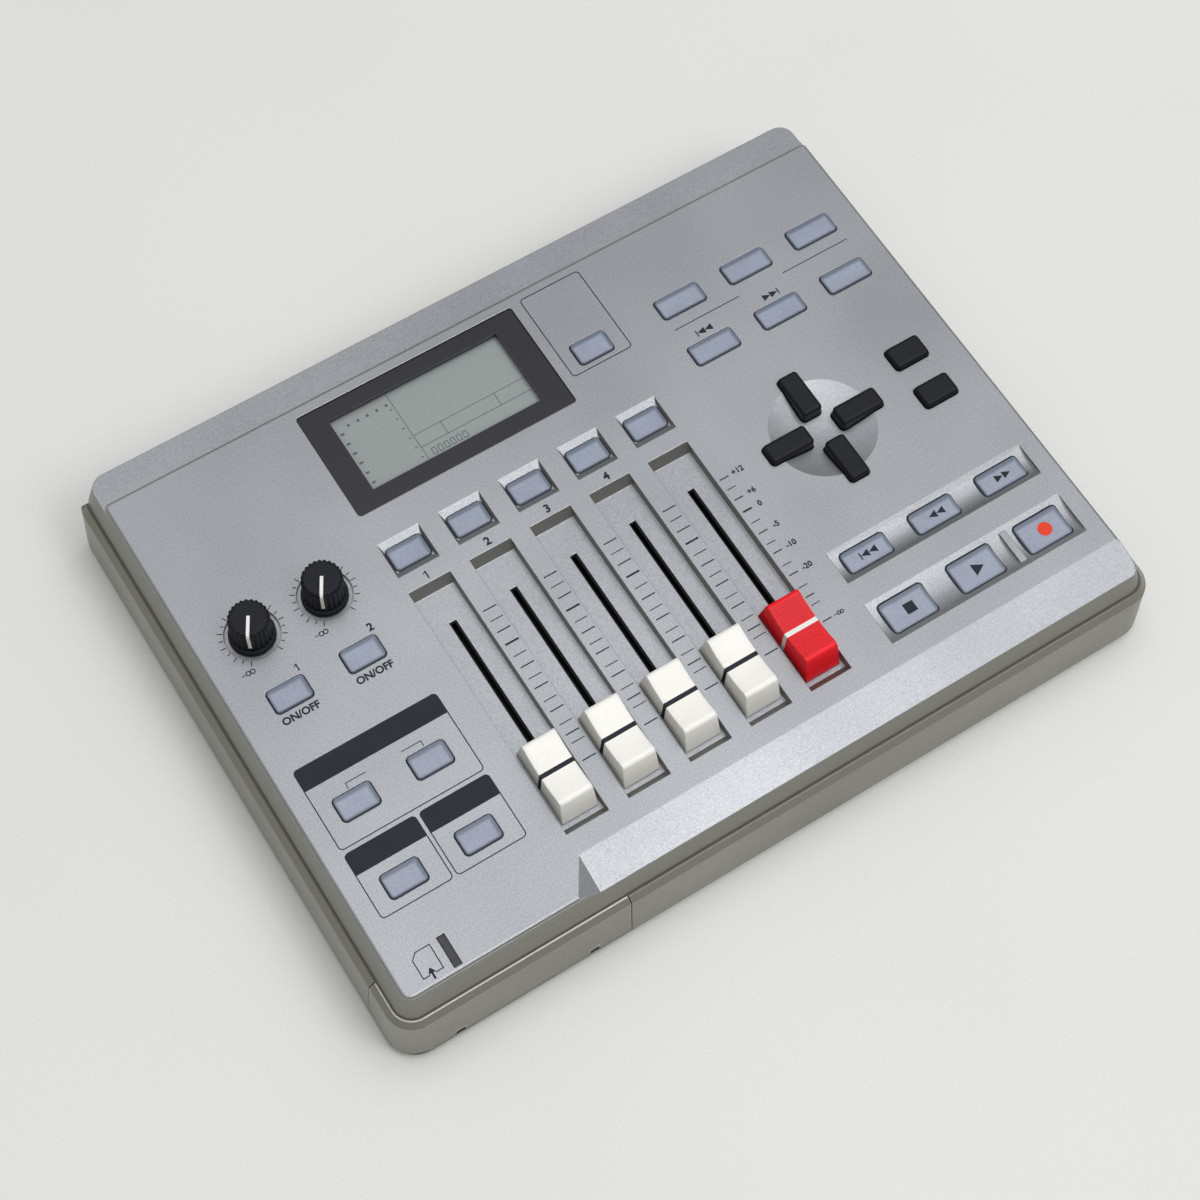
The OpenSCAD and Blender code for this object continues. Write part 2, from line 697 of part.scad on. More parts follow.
// Wedge that cuts the sloping front lip, with the slanted facet at its left end.
module lip_cut() {
    x0 = left_edge + lip_left;
    x1 = right_edge + base_flare;
    y1 = front_y - base_flare;
    z1 = panel_h - lip_drop * (fold_y - y1) / lip_d;
    x2 = x0 - lip_facet * (fold_y - y1) / lip_d;
    top = panel_h + over;
    polyhedron(
        points = [[x0, fold_y, panel_h], [x1, fold_y, panel_h], [x1, y1, z1], [x0, y1, z1], [x2, y1, panel_h],
                  [x0, fold_y, top], [x1, fold_y, top], [x1, y1, top], [x2, y1, top]],
        faces = [[3, 2, 1, 0], [4, 3, 0], [8, 7, 2, 3, 4], [2, 7, 6, 1], [1, 6, 5, 0], [5, 8, 4, 0], [5, 6, 7, 8]]);
}

// Long round-bottomed trough over a row of wide keys, cut from above.
module trough_cut(y, depth) {
    half = depth / 2 + key_gap + trough_y;
    r = (half * half + trough_drop * trough_drop) / (2 * trough_drop);
    length = 2 * right_pitch + wide_key_w + 2 * (key_gap + trough_x);
    translate([right_x(1), y, panel_h - trough_drop + r])
        rotate([0, 90, 0])
            cylinder(r = r, h = length, center = true, $fn = 128);
}

module upper_case_shell() {
    intersection() {
        union() {
            swept([[shoulder_out, strip_z], [skirt_out, strip_z - shoulder_h], [skirt_out, seam_z]],
                  rear_y - shoulder_out, rear_corner_r);
            swept(concat([for (a = [0:30:90]) [rim_r * (sin(a) - 1), panel_h - rim_r * (1 - cos(a))]],
                         [[0, strip_z - over]]), step_y, corner_r / 2);
        }
        front_of(rear_y);
    }
}

module upper_case_hollow() {
    intersection() {
        swept([[shoulder_at(shelf_z) - wall_t, shelf_z], [skirt_out - wall_t, strip_z - shoulder_h],
               [skirt_out - wall_t, seam_z - over]], rear_y + wall_t, rear_corner_r);
        front_of(rear_face);
    }
    translate([-panel_w / 2 + wall_t, fold_y, shelf_z - eps])
        cube([panel_w - 2 * wall_t, step_y - wall_t - fold_y, under_z - shelf_z + eps]);
}

module upper_case_pads() {
    pad_z = under_z + eps;
    for (i = [0:4])
        translate([track_x(i), fader_y, 0])
            block(channel_w + 2 * channel_t, channel_len + 2 * channel_t, channel_under, pad_z);
    translate([cursor_x, cursor_y, dish_under])
        cylinder(r = cursor_arm + cursor_len / 2 + flange_reach + 1, h = pad_z - dish_under);
    translate([right_x(1), from_front((rewind_row + play_row) / 2), 0])
        block(2 * right_pitch + wide_key_w + 2 * (key_gap + trough_x + recess_t),
              (rewind_row - play_row) * row_scale + big_key_d + 2 * (key_gap + trough_y + recess_t),
              trough_under, pad_z);
    translate([lens_mid, lens_y, 0])
        block(lens_w + 2 * lens_ledge, lens_d + 2 * lens_gap + 2, ledge_z, pad_z);
    for (p = SCREWS)
        translate([p[0], p[1], seam_z])
            cylinder(r = boss_r, h = pad_z - seam_z);
}

module upper_case_recesses() {
    for (i = [0:4]) {
        translate([track_x(i), fader_y, 0]) {
            funnel(channel_w, channel_len, channel_side_run, channel_end_run, channel_z, panel_h + eps);
            block(slot_w, slot_len, channel_under - over, channel_z + eps);
        }
        translate([track_x(i), from_front(track_row), 0])
            funnel(key_w + 2 * (key_gap + bezel_x), key_d + 2 * (key_gap + bezel_y), bezel_x, bezel_y,
                   panel_h - bezel_drop, panel_h + eps);
    }
    trough_cut(from_front(rewind_row), wide_key_d);
    difference() {
        trough_cut(from_front(play_row), big_key_d);
        translate([(right_x(1) + right_x(2)) / 2 + rib_w / 2, from_front(play_row), 0])
            block(rib_w, big_key_d + 2 * key_gap, trough_under, panel_h);
    }
    dish_ball = (dish_r * dish_r + dish_drop * dish_drop) / (2 * dish_drop);
    translate([cursor_x, cursor_y, panel_h - dish_drop + dish_ball])
        sphere(r = dish_ball, $fn = 128);
    for (i = [0:1])
        translate([left_x(i), knob_y, 0]) {
            translate([0, 0, dial_z])
                cylinder(r = knob_skirt_r + dial_margin, h = dial_drop + over);
            translate([0, 0, under_z - over])
                cylinder(r = bushing_r + bushing_gap, h = plate_t + over);
        }
    translate([lens_mid, lens_y, 0]) {
        rounded_block(lens_w + 2 * lens_gap, lens_d + 2 * lens_gap, key_r, lens_z, panel_h + over);
        block(lens_w - 2 * lens_ledge, lens_d - 2 * lens_ledge, ledge_z - over, lens_z + over);
    }
    translate([lamp_x, lamp_y, 0])
        block(lamp_w + 2 * lens_gap, lamp_len + 2 * lens_gap, shelf_z - over, panel_h + over);
}

module upper_case() {
    window_x = panel_w / 2 - window_side;
    color(silver)
        difference() {
            union() {
                difference() {
                    upper_case_shell();
                    upper_case_hollow();
                }
                upper_case_pads();
            }
            upper_case_recesses();
            lip_cut();
            for (k = KEYS)
                translate([k[1], k[2], 0])
                    rounded_block(k[3] + 2 * key_gap, k[4] + 2 * key_gap, key_r + key_gap,
                                  dish_under - over, panel_h + over);
            for (p = SCREWS)
                translate([p[0], p[1], seam_z - over])
                    cylinder(r = screw_r, h = screw_bite + over);
            translate([-window_x, rear_face - over, seam_z - over])
                cube([2 * window_x, wall_t + 2 * over, window_z1 - seam_z + over]);
        }
}

// Part of the lower case's wall where the card door lies, with a clearance around it and a margin outside.
module door_space(gap, depth, out) {
    intersection() {
        difference() {
            swept(flare(-out, out), rear_y, rear_corner_r);
            swept(flare(depth, out + eps), rear_y, rear_corner_r);
        }
        translate([door_x + gap - panel_w, door_y + gap - panel_d, door_z - gap])
            cube([panel_w, panel_d, panel_h]);
    }
}

// Inner face of the lower case's top edge, from above the edge down to the seam.
function cowl_face() = [[cowl_in, cowl_z + over], [cowl_in, seam_z]];

module lower_case_shell() {
    intersection() {
        difference() {
            swept(flare(0, 0), rear_y - shoulder_out, rear_corner_r);
            intersection() {
                swept(concat(cowl_face(), [[skirt_out - wall_t, seam_z], [base_flare - flare_wall_t, floor_z]]),
                      rear_y - shoulder_out, rear_corner_r);
                front_of(rear_face);
            }
            translate([-panel_w, rear_face - eps, seam_z])
                cube([2 * panel_w, wall_t + over, panel_h]);
        }
        front_of(rear_y);
    }
}

module hinge_lugs() {
    for (x = LUG_X)
        translate([x - lug_w / 2, hinge_y, hinge_z])
            difference() {
                union() {
                    rotate([0, 90, 0])
                        cylinder(r = lug_r - door_gap / 2, h = lug_w);
                    translate([0, 0, -lug_r + door_gap / 2])
                        cube([lug_w, groove_r + door_gap, 2 * lug_r - door_gap]);
                }
                translate([-over, 0, 0])
                    rotate([0, 90, 0])
                        cylinder(r = hinge_r + hinge_gap, h = lug_w + 2 * over);
            }
}

module lower_case() {
    window_x = panel_w / 2 - window_side;
    slot_z = board_bottom - card_socket_h / 2;
    color(silver_dark) {
        difference() {
            union() {
                lower_case_shell();
                for (p = SCREWS)
                    translate([p[0], p[1], floor_z - eps])
                        cylinder(r = boss_r, h = seam_z - floor_z + eps);
                for (p = POSTS)
                    translate([p[0], p[1], floor_z - eps])
                        cylinder(r = post_r, h = board_bottom - floor_z + eps);
                translate([battery_x, battery_y, 0])
                    block(battery_w + 2 * battery_t, battery_d + 2 * battery_t, floor_z - eps,
                          floor_z + battery_h + battery_t);
            }
            door_space(door_gap, door_t + door_gap, over);
            translate([left_edge - base_flare / 2, hinge_y, hinge_z])
                rotate([0, 90, 0])
                    cylinder(r = groove_r, h = door_right + door_gap + base_flare / 2);
            translate([left_edge + card_col, front_y, 0])
                block(card_slot_w + 2 * door_gap, 2 * base_flare + 2 * flare_wall_t,
                      slot_z - card_slot_h, slot_z + card_slot_h);
            for (p = SCREWS)
                translate([p[0], p[1], 0]) {
                    cylinder(r = screw_r + screw_gap, h = panel_h);
                    cylinder(r = screw_head_r + screw_gap, h = foot_h + screw_sink);
                }
            translate([battery_x, battery_y, 0]) {
                block(battery_w, battery_d, foot_h - over, floor_z + battery_h);
                translate([0, cover_travel / 2, 0])
                    block(cover_w + 2 * cover_gap, cover_d + 2 * cover_gap + cover_travel,
                          foot_h - over, foot_h + cover_t + cover_gap);
                for (s = [-1, 1])
                    translate([s * battery_w / 4, -battery_d / 2, 0])
                        block(tongue_w + 2 * cover_gap, 4 * battery_t, floor_z, floor_z + tongue_t + 2 * cover_gap);
            }
            translate([-window_x, rear_face - over, window_z0])
                cube([2 * window_x, wall_t + 2 * over, panel_h]);
        }
        hinge_lugs();
    }
}

module rear_panel() {
    half = panel_w / 2 - window_side + window_lap;
    color(silver_dark)
        difference() {
            translate([-half, rear_face - rear_t, floor_z])
                cube([2 * half, rear_t, shelf_z - floor_z]);
            for (x = JACK_X)
                translate([x, rear_face + over, socket_z])
                    rotate([90, 0, 0])
                        cylinder(r = jack_nose_r + nose_gap, h = rear_t + 2 * over);
            translate([inlet_x, rear_face + over, socket_z])
                rotate([90, 0, 0])
                    cylinder(r = jack_nose_r + nose_gap, h = rear_t + 2 * over);
            translate([switch_x, rear_face - rear_t / 2, socket_z])
                block(slider_w + slider_travel + 2 * slider_gap, rear_t + 2 * over,
                      -slider_h / 2 - slider_gap, slider_h / 2 + slider_gap);
        }
}

// A socket on the rear panel: body inside, round nose through the panel, nut outside.
module socket_body(width, length, bore_r, bore_len, nut) {
    difference() {
        union() {
            translate([-width / 2, -rear_t - length, -width / 2])
                cube([width, length, width]);
            translate([0, nut > 0 ? nut : 0, 0])
                rotate([90, 0, 0])
                    cylinder(r = jack_nose_r, h = rear_t + nut + eps);
            if (nut > 0)
                translate([0, nut, 0])
                    rotate([90, 0, 0])
                        cylinder(r = nut_r, h = nut, $fn = 6);
        }
        translate([0, nut + over, 0])
            rotate([90, 0, 0])
                cylinder(r = bore_r, h = bore_len + over);
    }
}

module rear_sockets() {
    color(black) {
        for (x = JACK_X)
            translate([x, rear_face, socket_z])
                socket_body(jack_w, jack_len, jack_r, jack_bore, nut_h);
        translate([inlet_x, rear_face, socket_z]) {
            socket_body(jack_w, inlet_bore + rear_t, inlet_r, inlet_bore, 0);
            rotate([90, 0, 0])
                cylinder(r = inlet_pin_r, h = inlet_bore + eps);
        }
        translate([switch_x, rear_face - rear_t, socket_z])
            difference() {
                power_switch_box(slider_wall + slider_gap);
                power_switch_box(slider_gap);
            }
    }
}

// Space around the power slider's carriage over its travel, open towards the rear panel when grown less.
module power_switch_box(grow) {
    closed = grow > slider_gap;
    width = slider_travel + slider_w + 2 * slider_lip + 2 * grow;
    height = slider_h + 2 * slider_lip + 2 * grow;
    depth = slider_seat + slider_gap + grow;
    translate([0, closed ? -depth / 2 : -depth / 2 + over, 0])
        block(width, closed ? depth : depth + 2 * over, -height / 2, height / 2);
}

module power_slider() {
    color(black)
        translate([switch_x - slider_travel / 2, rear_face, socket_z]) {
            translate([0, (slider_rise - rear_t) / 2, 0])
                block(slider_w, rear_t + slider_rise + 2 * slider_gap + eps, -slider_h / 2, slider_h / 2);
            translate([0, -rear_t - slider_gap - slider_seat / 2, 0])
                block(slider_w + 2 * slider_lip, slider_seat, -slider_h / 2 - slider_lip, slider_h / 2 + slider_lip);
        }
}

module card_door() {
    color(silver_dark)
        union() {
            difference() {
                door_space(0, door_t, 0);
                swept(cowl_face(), rear_y, rear_corner_r);
                for (x = LUG_X)
                    translate([x - lug_w / 2 - door_gap, front_y - 2 * base_flare, door_z - over])
                        cube([lug_w + 2 * door_gap, 2 * base_flare + over, 2 * lug_r + door_gap + over]);
            }
            for (x = LUG_X)
                translate([x - lug_w / 2 - door_gap - eps, hinge_y, hinge_z])
                    rotate([0, 90, 0])
                        cylinder(r = hinge_r, h = lug_w + 2 * (door_gap + eps));
        }
}

module panel_lenses() {
    color(black) {
        translate([lens_mid, lens_y, 0])
            rounded_block(lens_w, lens_d, key_r - lens_gap, lens_z, lens_z + lens_t);
        translate([lamp_x, lamp_y, 0]) {
            block(lamp_w, lamp_len, shelf_z - eps, panel_h);
            block(lamp_w + 2, lamp_len, shelf_z - 1, shelf_z);
        }
    }
}

module lcd_module() {
    color("#8C9491")
        translate([lens_mid, lens_y, 0])
            block(lens_w - 2 * lcd_inset, lens_d - 2 * lcd_inset, board_top, ledge_z - lcd_gap);
}

module main_board() {
    color(green)
        translate([-board_x1, board_y0, board_bottom])
            cube([2 * board_x1, board_y1 - board_y0, board_t]);
}

module key_switches() {
    color(black)
        for (k = KEYS)
            translate([k[1], k[2], 0]) {
                block(switch_w, switch_w, board_top, board_top + switch_h);
                translate([0, 0, board_top + switch_h - eps])
                    cylinder(r = plunger_r, h = plunger_h + eps);
            }
}

module fader_tracks() {
    color(metal)
        for (i = [0:4])
            translate([track_x(i), fader_y, 0])
                difference() {
                    block(track_w, track_len, board_top, track_top);
                    block(track_w - 2 * track_t, track_len - 2 * track_t, board_top + track_t, track_top - track_t);
                    block(slot_w, slot_len, track_top - track_t - over, track_top + over);
                }
}

module fader_lever(i) {
    carriage_w = track_w - 2 * track_t - 2 * carriage_gap;
    z0 = board_top + track_t + carriage_gap;
    z1 = track_top - track_t - carriage_gap;
    color(metal)
        translate([track_x(i), cap_rest_y, 0]) {
            block(carriage_w, carriage_len, z0, z1);
            block(lever_t, lever_d, z1 - eps, cap_z + lever_socket);
        }
}

module fader_cap(i) {
    crown = cap_hollow;
    chord = cap_len / 2 - cap_end_taper;
    r = (chord * chord + crown * crown) / (2 * crown);
    color(i < 4 ? white : red)
        translate([track_x(i), cap_rest_y, 0])
            difference() {
                funnel(cap_w - 2 * cap_side_taper, cap_len - 2 * cap_end_taper, -cap_side_taper, -cap_end_taper,
                       cap_z, cap_top);
                translate([0, 0, cap_top - crown + r])
                    rotate([0, 90, 0])
                        cylinder(r = r, h = 2 * cap_w, center = true, $fn = 128);
                block(lever_t, lever_d, cap_z - over, cap_z + lever_socket);
            }
}

module pot_bodies() {
    color(metal)
        for (i = [0:1])
            translate([left_x(i), knob_y, 0])
                difference() {
                    union() {
                        block(pot_w, pot_w, board_top, board_top + pot_h);
                        translate([0, 0, board_top + pot_h - eps])
                            cylinder(r = bushing_r, h = panel_h - board_top - pot_h + eps);
                    }
                    translate([0, 0, shaft_z - shaft_gap])
                        cylinder(r = shaft_r + shaft_gap, h = panel_h);
                }
}

module pot_shaft(i) {
    color(metal)
        translate([left_x(i), knob_y, shaft_z])
            cylinder(r = shaft_r, h = shaft_top - shaft_z);
}

module level_knob(i) {
    color(black)
        translate([left_x(i), knob_y, 0])
            difference() {
                union() {
                    translate([0, 0, knob_z])
                        cylinder(r = knob_skirt_r, h = knob_skirt_h);
                    translate([0, 0, knob_z + knob_skirt_h - eps])
                        linear_extrude(knob_top - knob_crown - knob_z - knob_skirt_h + eps)
                            difference() {
                                circle(knob_r);
                                for (a = [0:knob_flutes - 1])
                                    rotate(a * 360 / knob_flutes)
                                        translate([knob_r + flute_r / 2, 0])
                                            circle(flute_r);
                            }
                    translate([0, 0, knob_top - knob_crown - eps])
                        cylinder(r1 = knob_r - flute_r, r2 = knob_top_r - flute_r, h = knob_crown + eps);
                }
                translate([0, 0, knob_z - over])
                    cylinder(r = shaft_r, h = shaft_top - knob_z + over);
                translate([0, 0, knob_z - over])
                    cylinder(r = bushing_r + knob_gap, h = panel_h + knob_gap - knob_z + over);
            }
}

module card_socket() {
    front = from_front(card_socket_front);
    slot_z = board_bottom - card_socket_h / 2;
    color(metal)
        translate([left_edge + card_col, front + card_socket_d / 2, 0])
            difference() {
                block(card_socket_w, card_socket_d, board_bottom - card_socket_h, board_bottom);
                translate([0, -card_socket_t, 0])
                    block(card_slot_w, card_socket_d, slot_z - card_slot_h / 2, slot_z + card_slot_h / 2);
            }
}

module battery_cover() {
    color(silver_dark)
        translate([battery_x, battery_y, 0]) {
            block(cover_w, cover_d, foot_h, foot_h + cover_t);
            for (s = [-1, 1])
                translate([s * battery_w / 4, -battery_d / 2, 0]) {
                    neck = tongue_t + cover_gap;
                    translate([0, cover_gap + neck / 2, 0])
                        block(tongue_w, neck, foot_h + cover_t - eps, floor_z + cover_gap + tongue_t);
                    translate([0, (cover_gap + neck - tongue_reach) / 2, 0])
                        block(tongue_w, cover_gap + neck + tongue_reach, floor_z + cover_gap,
                              floor_z + cover_gap + tongue_t);
                }
        }
}

module feet() {
    color(black)
        for (p = FEET)
            translate([p[0], p[1], 0])
                cylinder(r = foot_r, h = foot_h);
}

module case_screws() {
    head_z = foot_h + screw_sink - screw_head_h;
    color(metal)
        for (p = SCREWS)
            translate([p[0], p[1], 0]) {
                translate([0, 0, head_z])
                    cylinder(r = screw_head_r, h = screw_head_h);
                translate([0, 0, head_z])
                    cylinder(r = screw_r, h = seam_z + screw_bite - head_z - over);
            }
}

module key(k) {
    top = panel_h + k[5];
    flange_z = k[6] - flange_gap - flange_t;
    color(k[7])
        translate([k[1], k[2], 0]) {
            intersection() {
                rounded_block(k[3], k[4], key_r, flange_z, top + over);
                key_slopes(k[4], k[3] + over, flange_z - over, top, 0, [90, 0, 90]);
                key_slopes(k[3], k[4] + over, flange_z - over, top, key_bevel, [90, 0, 0]);
            }
            rounded_block(k[3] + 2 * flange_reach, k[4] + 2 * flange_reach, key_r, flange_z, flange_z + flange_t);
            translate([0, 0, stem_z])
                cylinder(r = stem_r, h = flange_z - stem_z + eps);
        }
}

// Ridge whose two slopes bevel a pair of a key's edges, ending level at its top or some way above it.
module key_slopes(depth, length, z0, top, above, turn) {
    foot = depth / 2 + over;
    crest = depth / 2 - key_bevel - above;
    rotate(turn)
        linear_extrude(length, center = true)
            polygon([[-foot, z0], [foot, z0], [foot, top - key_bevel - over], [crest, top + above],
                     [-crest, top + above], [-foot, top - key_bevel - over]]);
}

upper_case();
lower_case();
rear_panel();
card_door();
panel_lenses();
lcd_module();
main_board();
key_switches();
fader_tracks();
pot_bodies();
rear_sockets();
power_slider();
card_socket();
battery_cover();
feet();
case_screws();
for (k = KEYS) key(k);
for (i = [0:4]) fader_cap(i);
for (i = [0:4]) fader_lever(i);
for (i = [0:1]) level_knob(i);
for (i = [0:1]) pot_shaft(i);
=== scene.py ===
"""Looks of a tabletop multitrack recorder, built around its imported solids."""
import logging
import math
from dataclasses import dataclass, replace
from enum import Enum
from typing import Iterable, Sequence

import bmesh
import bpy
from mathutils import Matrix, Vector


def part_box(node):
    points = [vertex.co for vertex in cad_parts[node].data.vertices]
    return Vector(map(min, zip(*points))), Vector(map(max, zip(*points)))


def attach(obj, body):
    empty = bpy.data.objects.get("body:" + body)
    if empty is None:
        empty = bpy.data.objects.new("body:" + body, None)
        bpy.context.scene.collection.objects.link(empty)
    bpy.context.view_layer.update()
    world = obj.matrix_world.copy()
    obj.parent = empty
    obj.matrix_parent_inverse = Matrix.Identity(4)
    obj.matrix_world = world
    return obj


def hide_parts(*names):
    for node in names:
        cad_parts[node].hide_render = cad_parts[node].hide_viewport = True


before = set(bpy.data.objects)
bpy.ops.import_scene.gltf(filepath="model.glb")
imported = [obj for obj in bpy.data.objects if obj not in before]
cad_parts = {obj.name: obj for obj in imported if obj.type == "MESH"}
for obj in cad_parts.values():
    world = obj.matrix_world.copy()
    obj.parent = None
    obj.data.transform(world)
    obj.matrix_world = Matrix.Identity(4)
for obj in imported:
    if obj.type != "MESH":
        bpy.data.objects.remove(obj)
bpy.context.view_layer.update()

MM = 0.001
# Points this close, in millimetres, lie at one place.
TOUCH = 1e-4
# Angle past which an edge is shaded sharp.
SHARP_DEG = 32.0
# Share of a letter's size by which its strokes grow outwards.
BOLD = 0.036
# Share of the grain in a finish's clouds, and the span over which they pass from one tint to the other.
GRAIN_SHARE = 0.5
CLOUD_SPAN = (0.35, 0.65)
# Cosine of the turn at which a softened edge begins to take the edge tint, and the samples that soften it.
# The edge tint is wear on the black and white mouldings, a painted highlight on the silver, door, red and
# acrylic finishes, and painted shade on the grey.
EDGE_START = 0.99
EDGE_SAMPLES = 6
# Segments around a slim and a wide turned piece.
SLIM_STEPS = 24
WIDE_STEPS = 40
Point = tuple[float, float]
Triple = tuple[float, float, float]
Box = tuple[float, float, float, float]
Mesh = bmesh.types.BMesh
Tree = bpy.types.NodeTree
Socket = bpy.types.NodeSocket
log = logging.getLogger("recorder")


def linear(code: str) -> tuple[float, float, float, float]:
    """Turns an sRGB hex colour into linear light.

    Args:
        code: colour such as "#A5A7AC".

    Returns:
        Red, green, blue and alpha.
    """
    parts = [int(code[i:i + 2], 16) / 255 for i in (1, 3, 5)]
    red, green, blue = (p / 12.92 if p <= 0.04045 else ((p + 0.055) / 1.055) ** 2.4 for p in parts)
    return red, green, blue, 1.0


def add_node(tree: Tree, kind: str, inputs: dict | None = None, **settings) -> bpy.types.Node:
    """Adds a node with its settings and links.

    Args:
        tree: node tree to add to.
        kind: node type.
        inputs: values, or sockets to link from, by the input's name or number.
        **settings: properties of the node.

    Returns:
        The new node.
    """
    node = tree.nodes.new(kind)
    for key, value in settings.items():
        setattr(node, key, value)
    for key, value in (inputs or {}).items():
        if isinstance(value, Socket):
            tree.links.new(value, node.inputs[key])
        else:
            node.inputs[key].default_value = value
    return node


@dataclass(frozen=True)
class Finish:
    """A surface finish: colour clouds, fine grain, soft edges and an edge tint on one shader; the edge tint
    is wear on some finishes and a painted highlight or painted shade on others.

    Colours are sRGB, lengths are in millimetres, and glow is the share of light that scatters inside.
    """

    name: str
    colour: str
    shade: str
    roughness: float
    metallic: float = 0.0
    spread: float = 0.05
    cloud_mm: float = 30.0
    grain_mm: float = 0.5
    grain_depth_mm: float = 0.01
    soften_mm: float = 0.0
    edge: str = ""
    edge_share: float = 0.0
    edge_turn: float = 0.85
    coat: float = 0.0
    coat_roughness: float = 0.08
    ior: float = 1.5
    glow: float = 0.0
    glow_mm: float = 0.0

    def material(self) -> bpy.types.Material:
        """Returns this finish's material, made at its first use."""
        return bpy.data.materials.get(self.name) or self.make()

    def tint(self, tree: Tree, place: Socket, grain: Socket) -> Socket:
        """Colours the surface.

        Args:
            tree: the material's node tree.
            place: object coordinates.
            grain: fine noise.

        Returns:
            The colour.
        """
        cloud = add_node(tree, "ShaderNodeTexNoise", {"Vector": place, "Scale": 1 / (self.cloud_mm * MM)})
        blend = add_node(tree, "ShaderNodeMix", {0: GRAIN_SHARE, 2: cloud.outputs[0], 3: grain})
        share = add_node(tree, "ShaderNodeMapRange",
                         {"Value": blend.outputs[0], "From Min": CLOUD_SPAN[0], "From Max": CLOUD_SPAN[1]})
        return add_node(tree, "ShaderNodeMix",
                        {0: share.outputs[0], 6: linear(self.colour), 7: linear(self.shade)},
                        data_type="RGBA").outputs[2]

    def rub(self, tree: Tree, colour: Socket, soft: Socket) -> Socket:
        """Blends the edge colour in where the softened normal turns away from the face: wear on some
        finishes, a painted highlight or painted shade on others.

        Args:
            tree: the material's node tree.
            colour: the colour so far.
            soft: the softened normal.

        Returns:
            The colour.
        """
        flat = add_node(tree, "ShaderNodeNewGeometry").outputs["Normal"]
        turn = add_node(tree, "ShaderNodeVectorMath", {0: soft, 1: flat}, operation="DOT_PRODUCT")
        edge_tint_share = add_node(tree, "ShaderNodeMapRange",
                          {"Value": turn.outputs["Value"], "From Min": EDGE_START, "From Max": self.edge_turn,
                           "To Max": self.edge_share})
        return add_node(tree, "ShaderNodeMix", {0: edge_tint_share.outputs[0], 6: colour, 7: linear(self.edge)},
                        data_type="RGBA").outputs[2]

    def make(self) -> bpy.types.Material:
        """Builds the node tree.

        Returns:
            The new material.
        """
        material = bpy.data.materials.new(self.name)
        material.use_nodes = True
        tree = material.node_tree
        tree.nodes.clear()
        place = add_node(tree, "ShaderNodeTexCoord").outputs["Object"]
        grain = add_node(tree, "ShaderNodeTexNoise",
                         {"Vector": place, "Scale": 1 / (self.grain_mm * MM), "Detail": 1.0}).outputs[0]
        colour = self.tint(tree, place, grain)
        bump = add_node(tree, "ShaderNodeBump", {"Height": grain, "Distance": self.grain_depth_mm * MM})
        if self.soften_mm:
            soft = add_node(tree, "ShaderNodeBevel", {"Radius": self.soften_mm * MM},
                            samples=EDGE_SAMPLES).outputs[0]
            tree.links.new(soft, bump.inputs["Normal"])
            if self.edge_share:
                colour = self.rub(tree, colour, soft)
        gloss = add_node(tree, "ShaderNodeMapRange",
                         {"Value": grain, "To Min": self.roughness - self.spread,
                          "To Max": self.roughness + self.spread})
        shader = add_node(tree, "ShaderNodeBsdfPrincipled",
                          {"Base Color": colour, "Roughness": gloss.outputs[0], "Metallic": self.metallic,
                           "Normal": bump.outputs[0], "Coat Weight": self.coat,
                           "Coat Roughness": self.coat_roughness, "IOR": self.ior,
                           "Subsurface Weight": self.glow, "Subsurface Scale": self.glow_mm * MM,
                           "Subsurface Radius": (1.0, 1.0, 1.0)})
        add_node(tree, "ShaderNodeOutputMaterial", {"Surface": shader.outputs[0]})
        return material


@dataclass(frozen=True)
class LacquerFinish(Finish):
    """Metallic lacquer with painted light and shade set by how far a face looks up: one tint on steep faces
    and another on up-facing faces.
    """

    # Tint of steep faces: painted shade on the silver, painted light on the grey's slanted brow.
    thin: str = "#8B8A82"
    thin_share: float = 0.9
    full_rise: float = 0.75
    thin_rise: float = 0.5
    # Painted shade on up-facing faces, such as the grey's top edge.
    level: str = "#625F57"
    level_share: float = 0.0
    level_rise: Point = (0.85, 0.95)

    def tint(self, tree: Tree, place: Socket, grain: Socket) -> Socket:
        """Blends in the steep and the level tint, which are painted light and shade, by how far a face looks
        up.

        Args:
            tree: the material's node tree.
            place: object coordinates.
            grain: fine noise.

        Returns:
            The colour.
        """
        plain = super().tint(tree, place, grain)
        normal = add_node(tree, "ShaderNodeNewGeometry").outputs["True Normal"]
        rise = add_node(tree, "ShaderNodeSeparateXYZ", {0: normal}).outputs["Z"]
        share = add_node(tree, "ShaderNodeMapRange", {"Value": rise, "From Min": self.full_rise,
                                                      "From Max": self.thin_rise, "To Max": self.thin_share})
        coat = add_node(tree, "ShaderNodeMix", {0: share.outputs[0], 6: plain, 7: linear(self.thin)},
                        data_type="RGBA").outputs[2]
        if not self.level_share:
            return coat
        flat = add_node(tree, "ShaderNodeMapRange",
                        {"Value": rise, "From Min": self.level_rise[0], "From Max": self.level_rise[1],
                         "To Max": self.level_share})
        return add_node(tree, "ShaderNodeMix", {0: flat.outputs[0], 6: coat, 7: linear(self.level)},
                        data_type="RGBA").outputs[2]


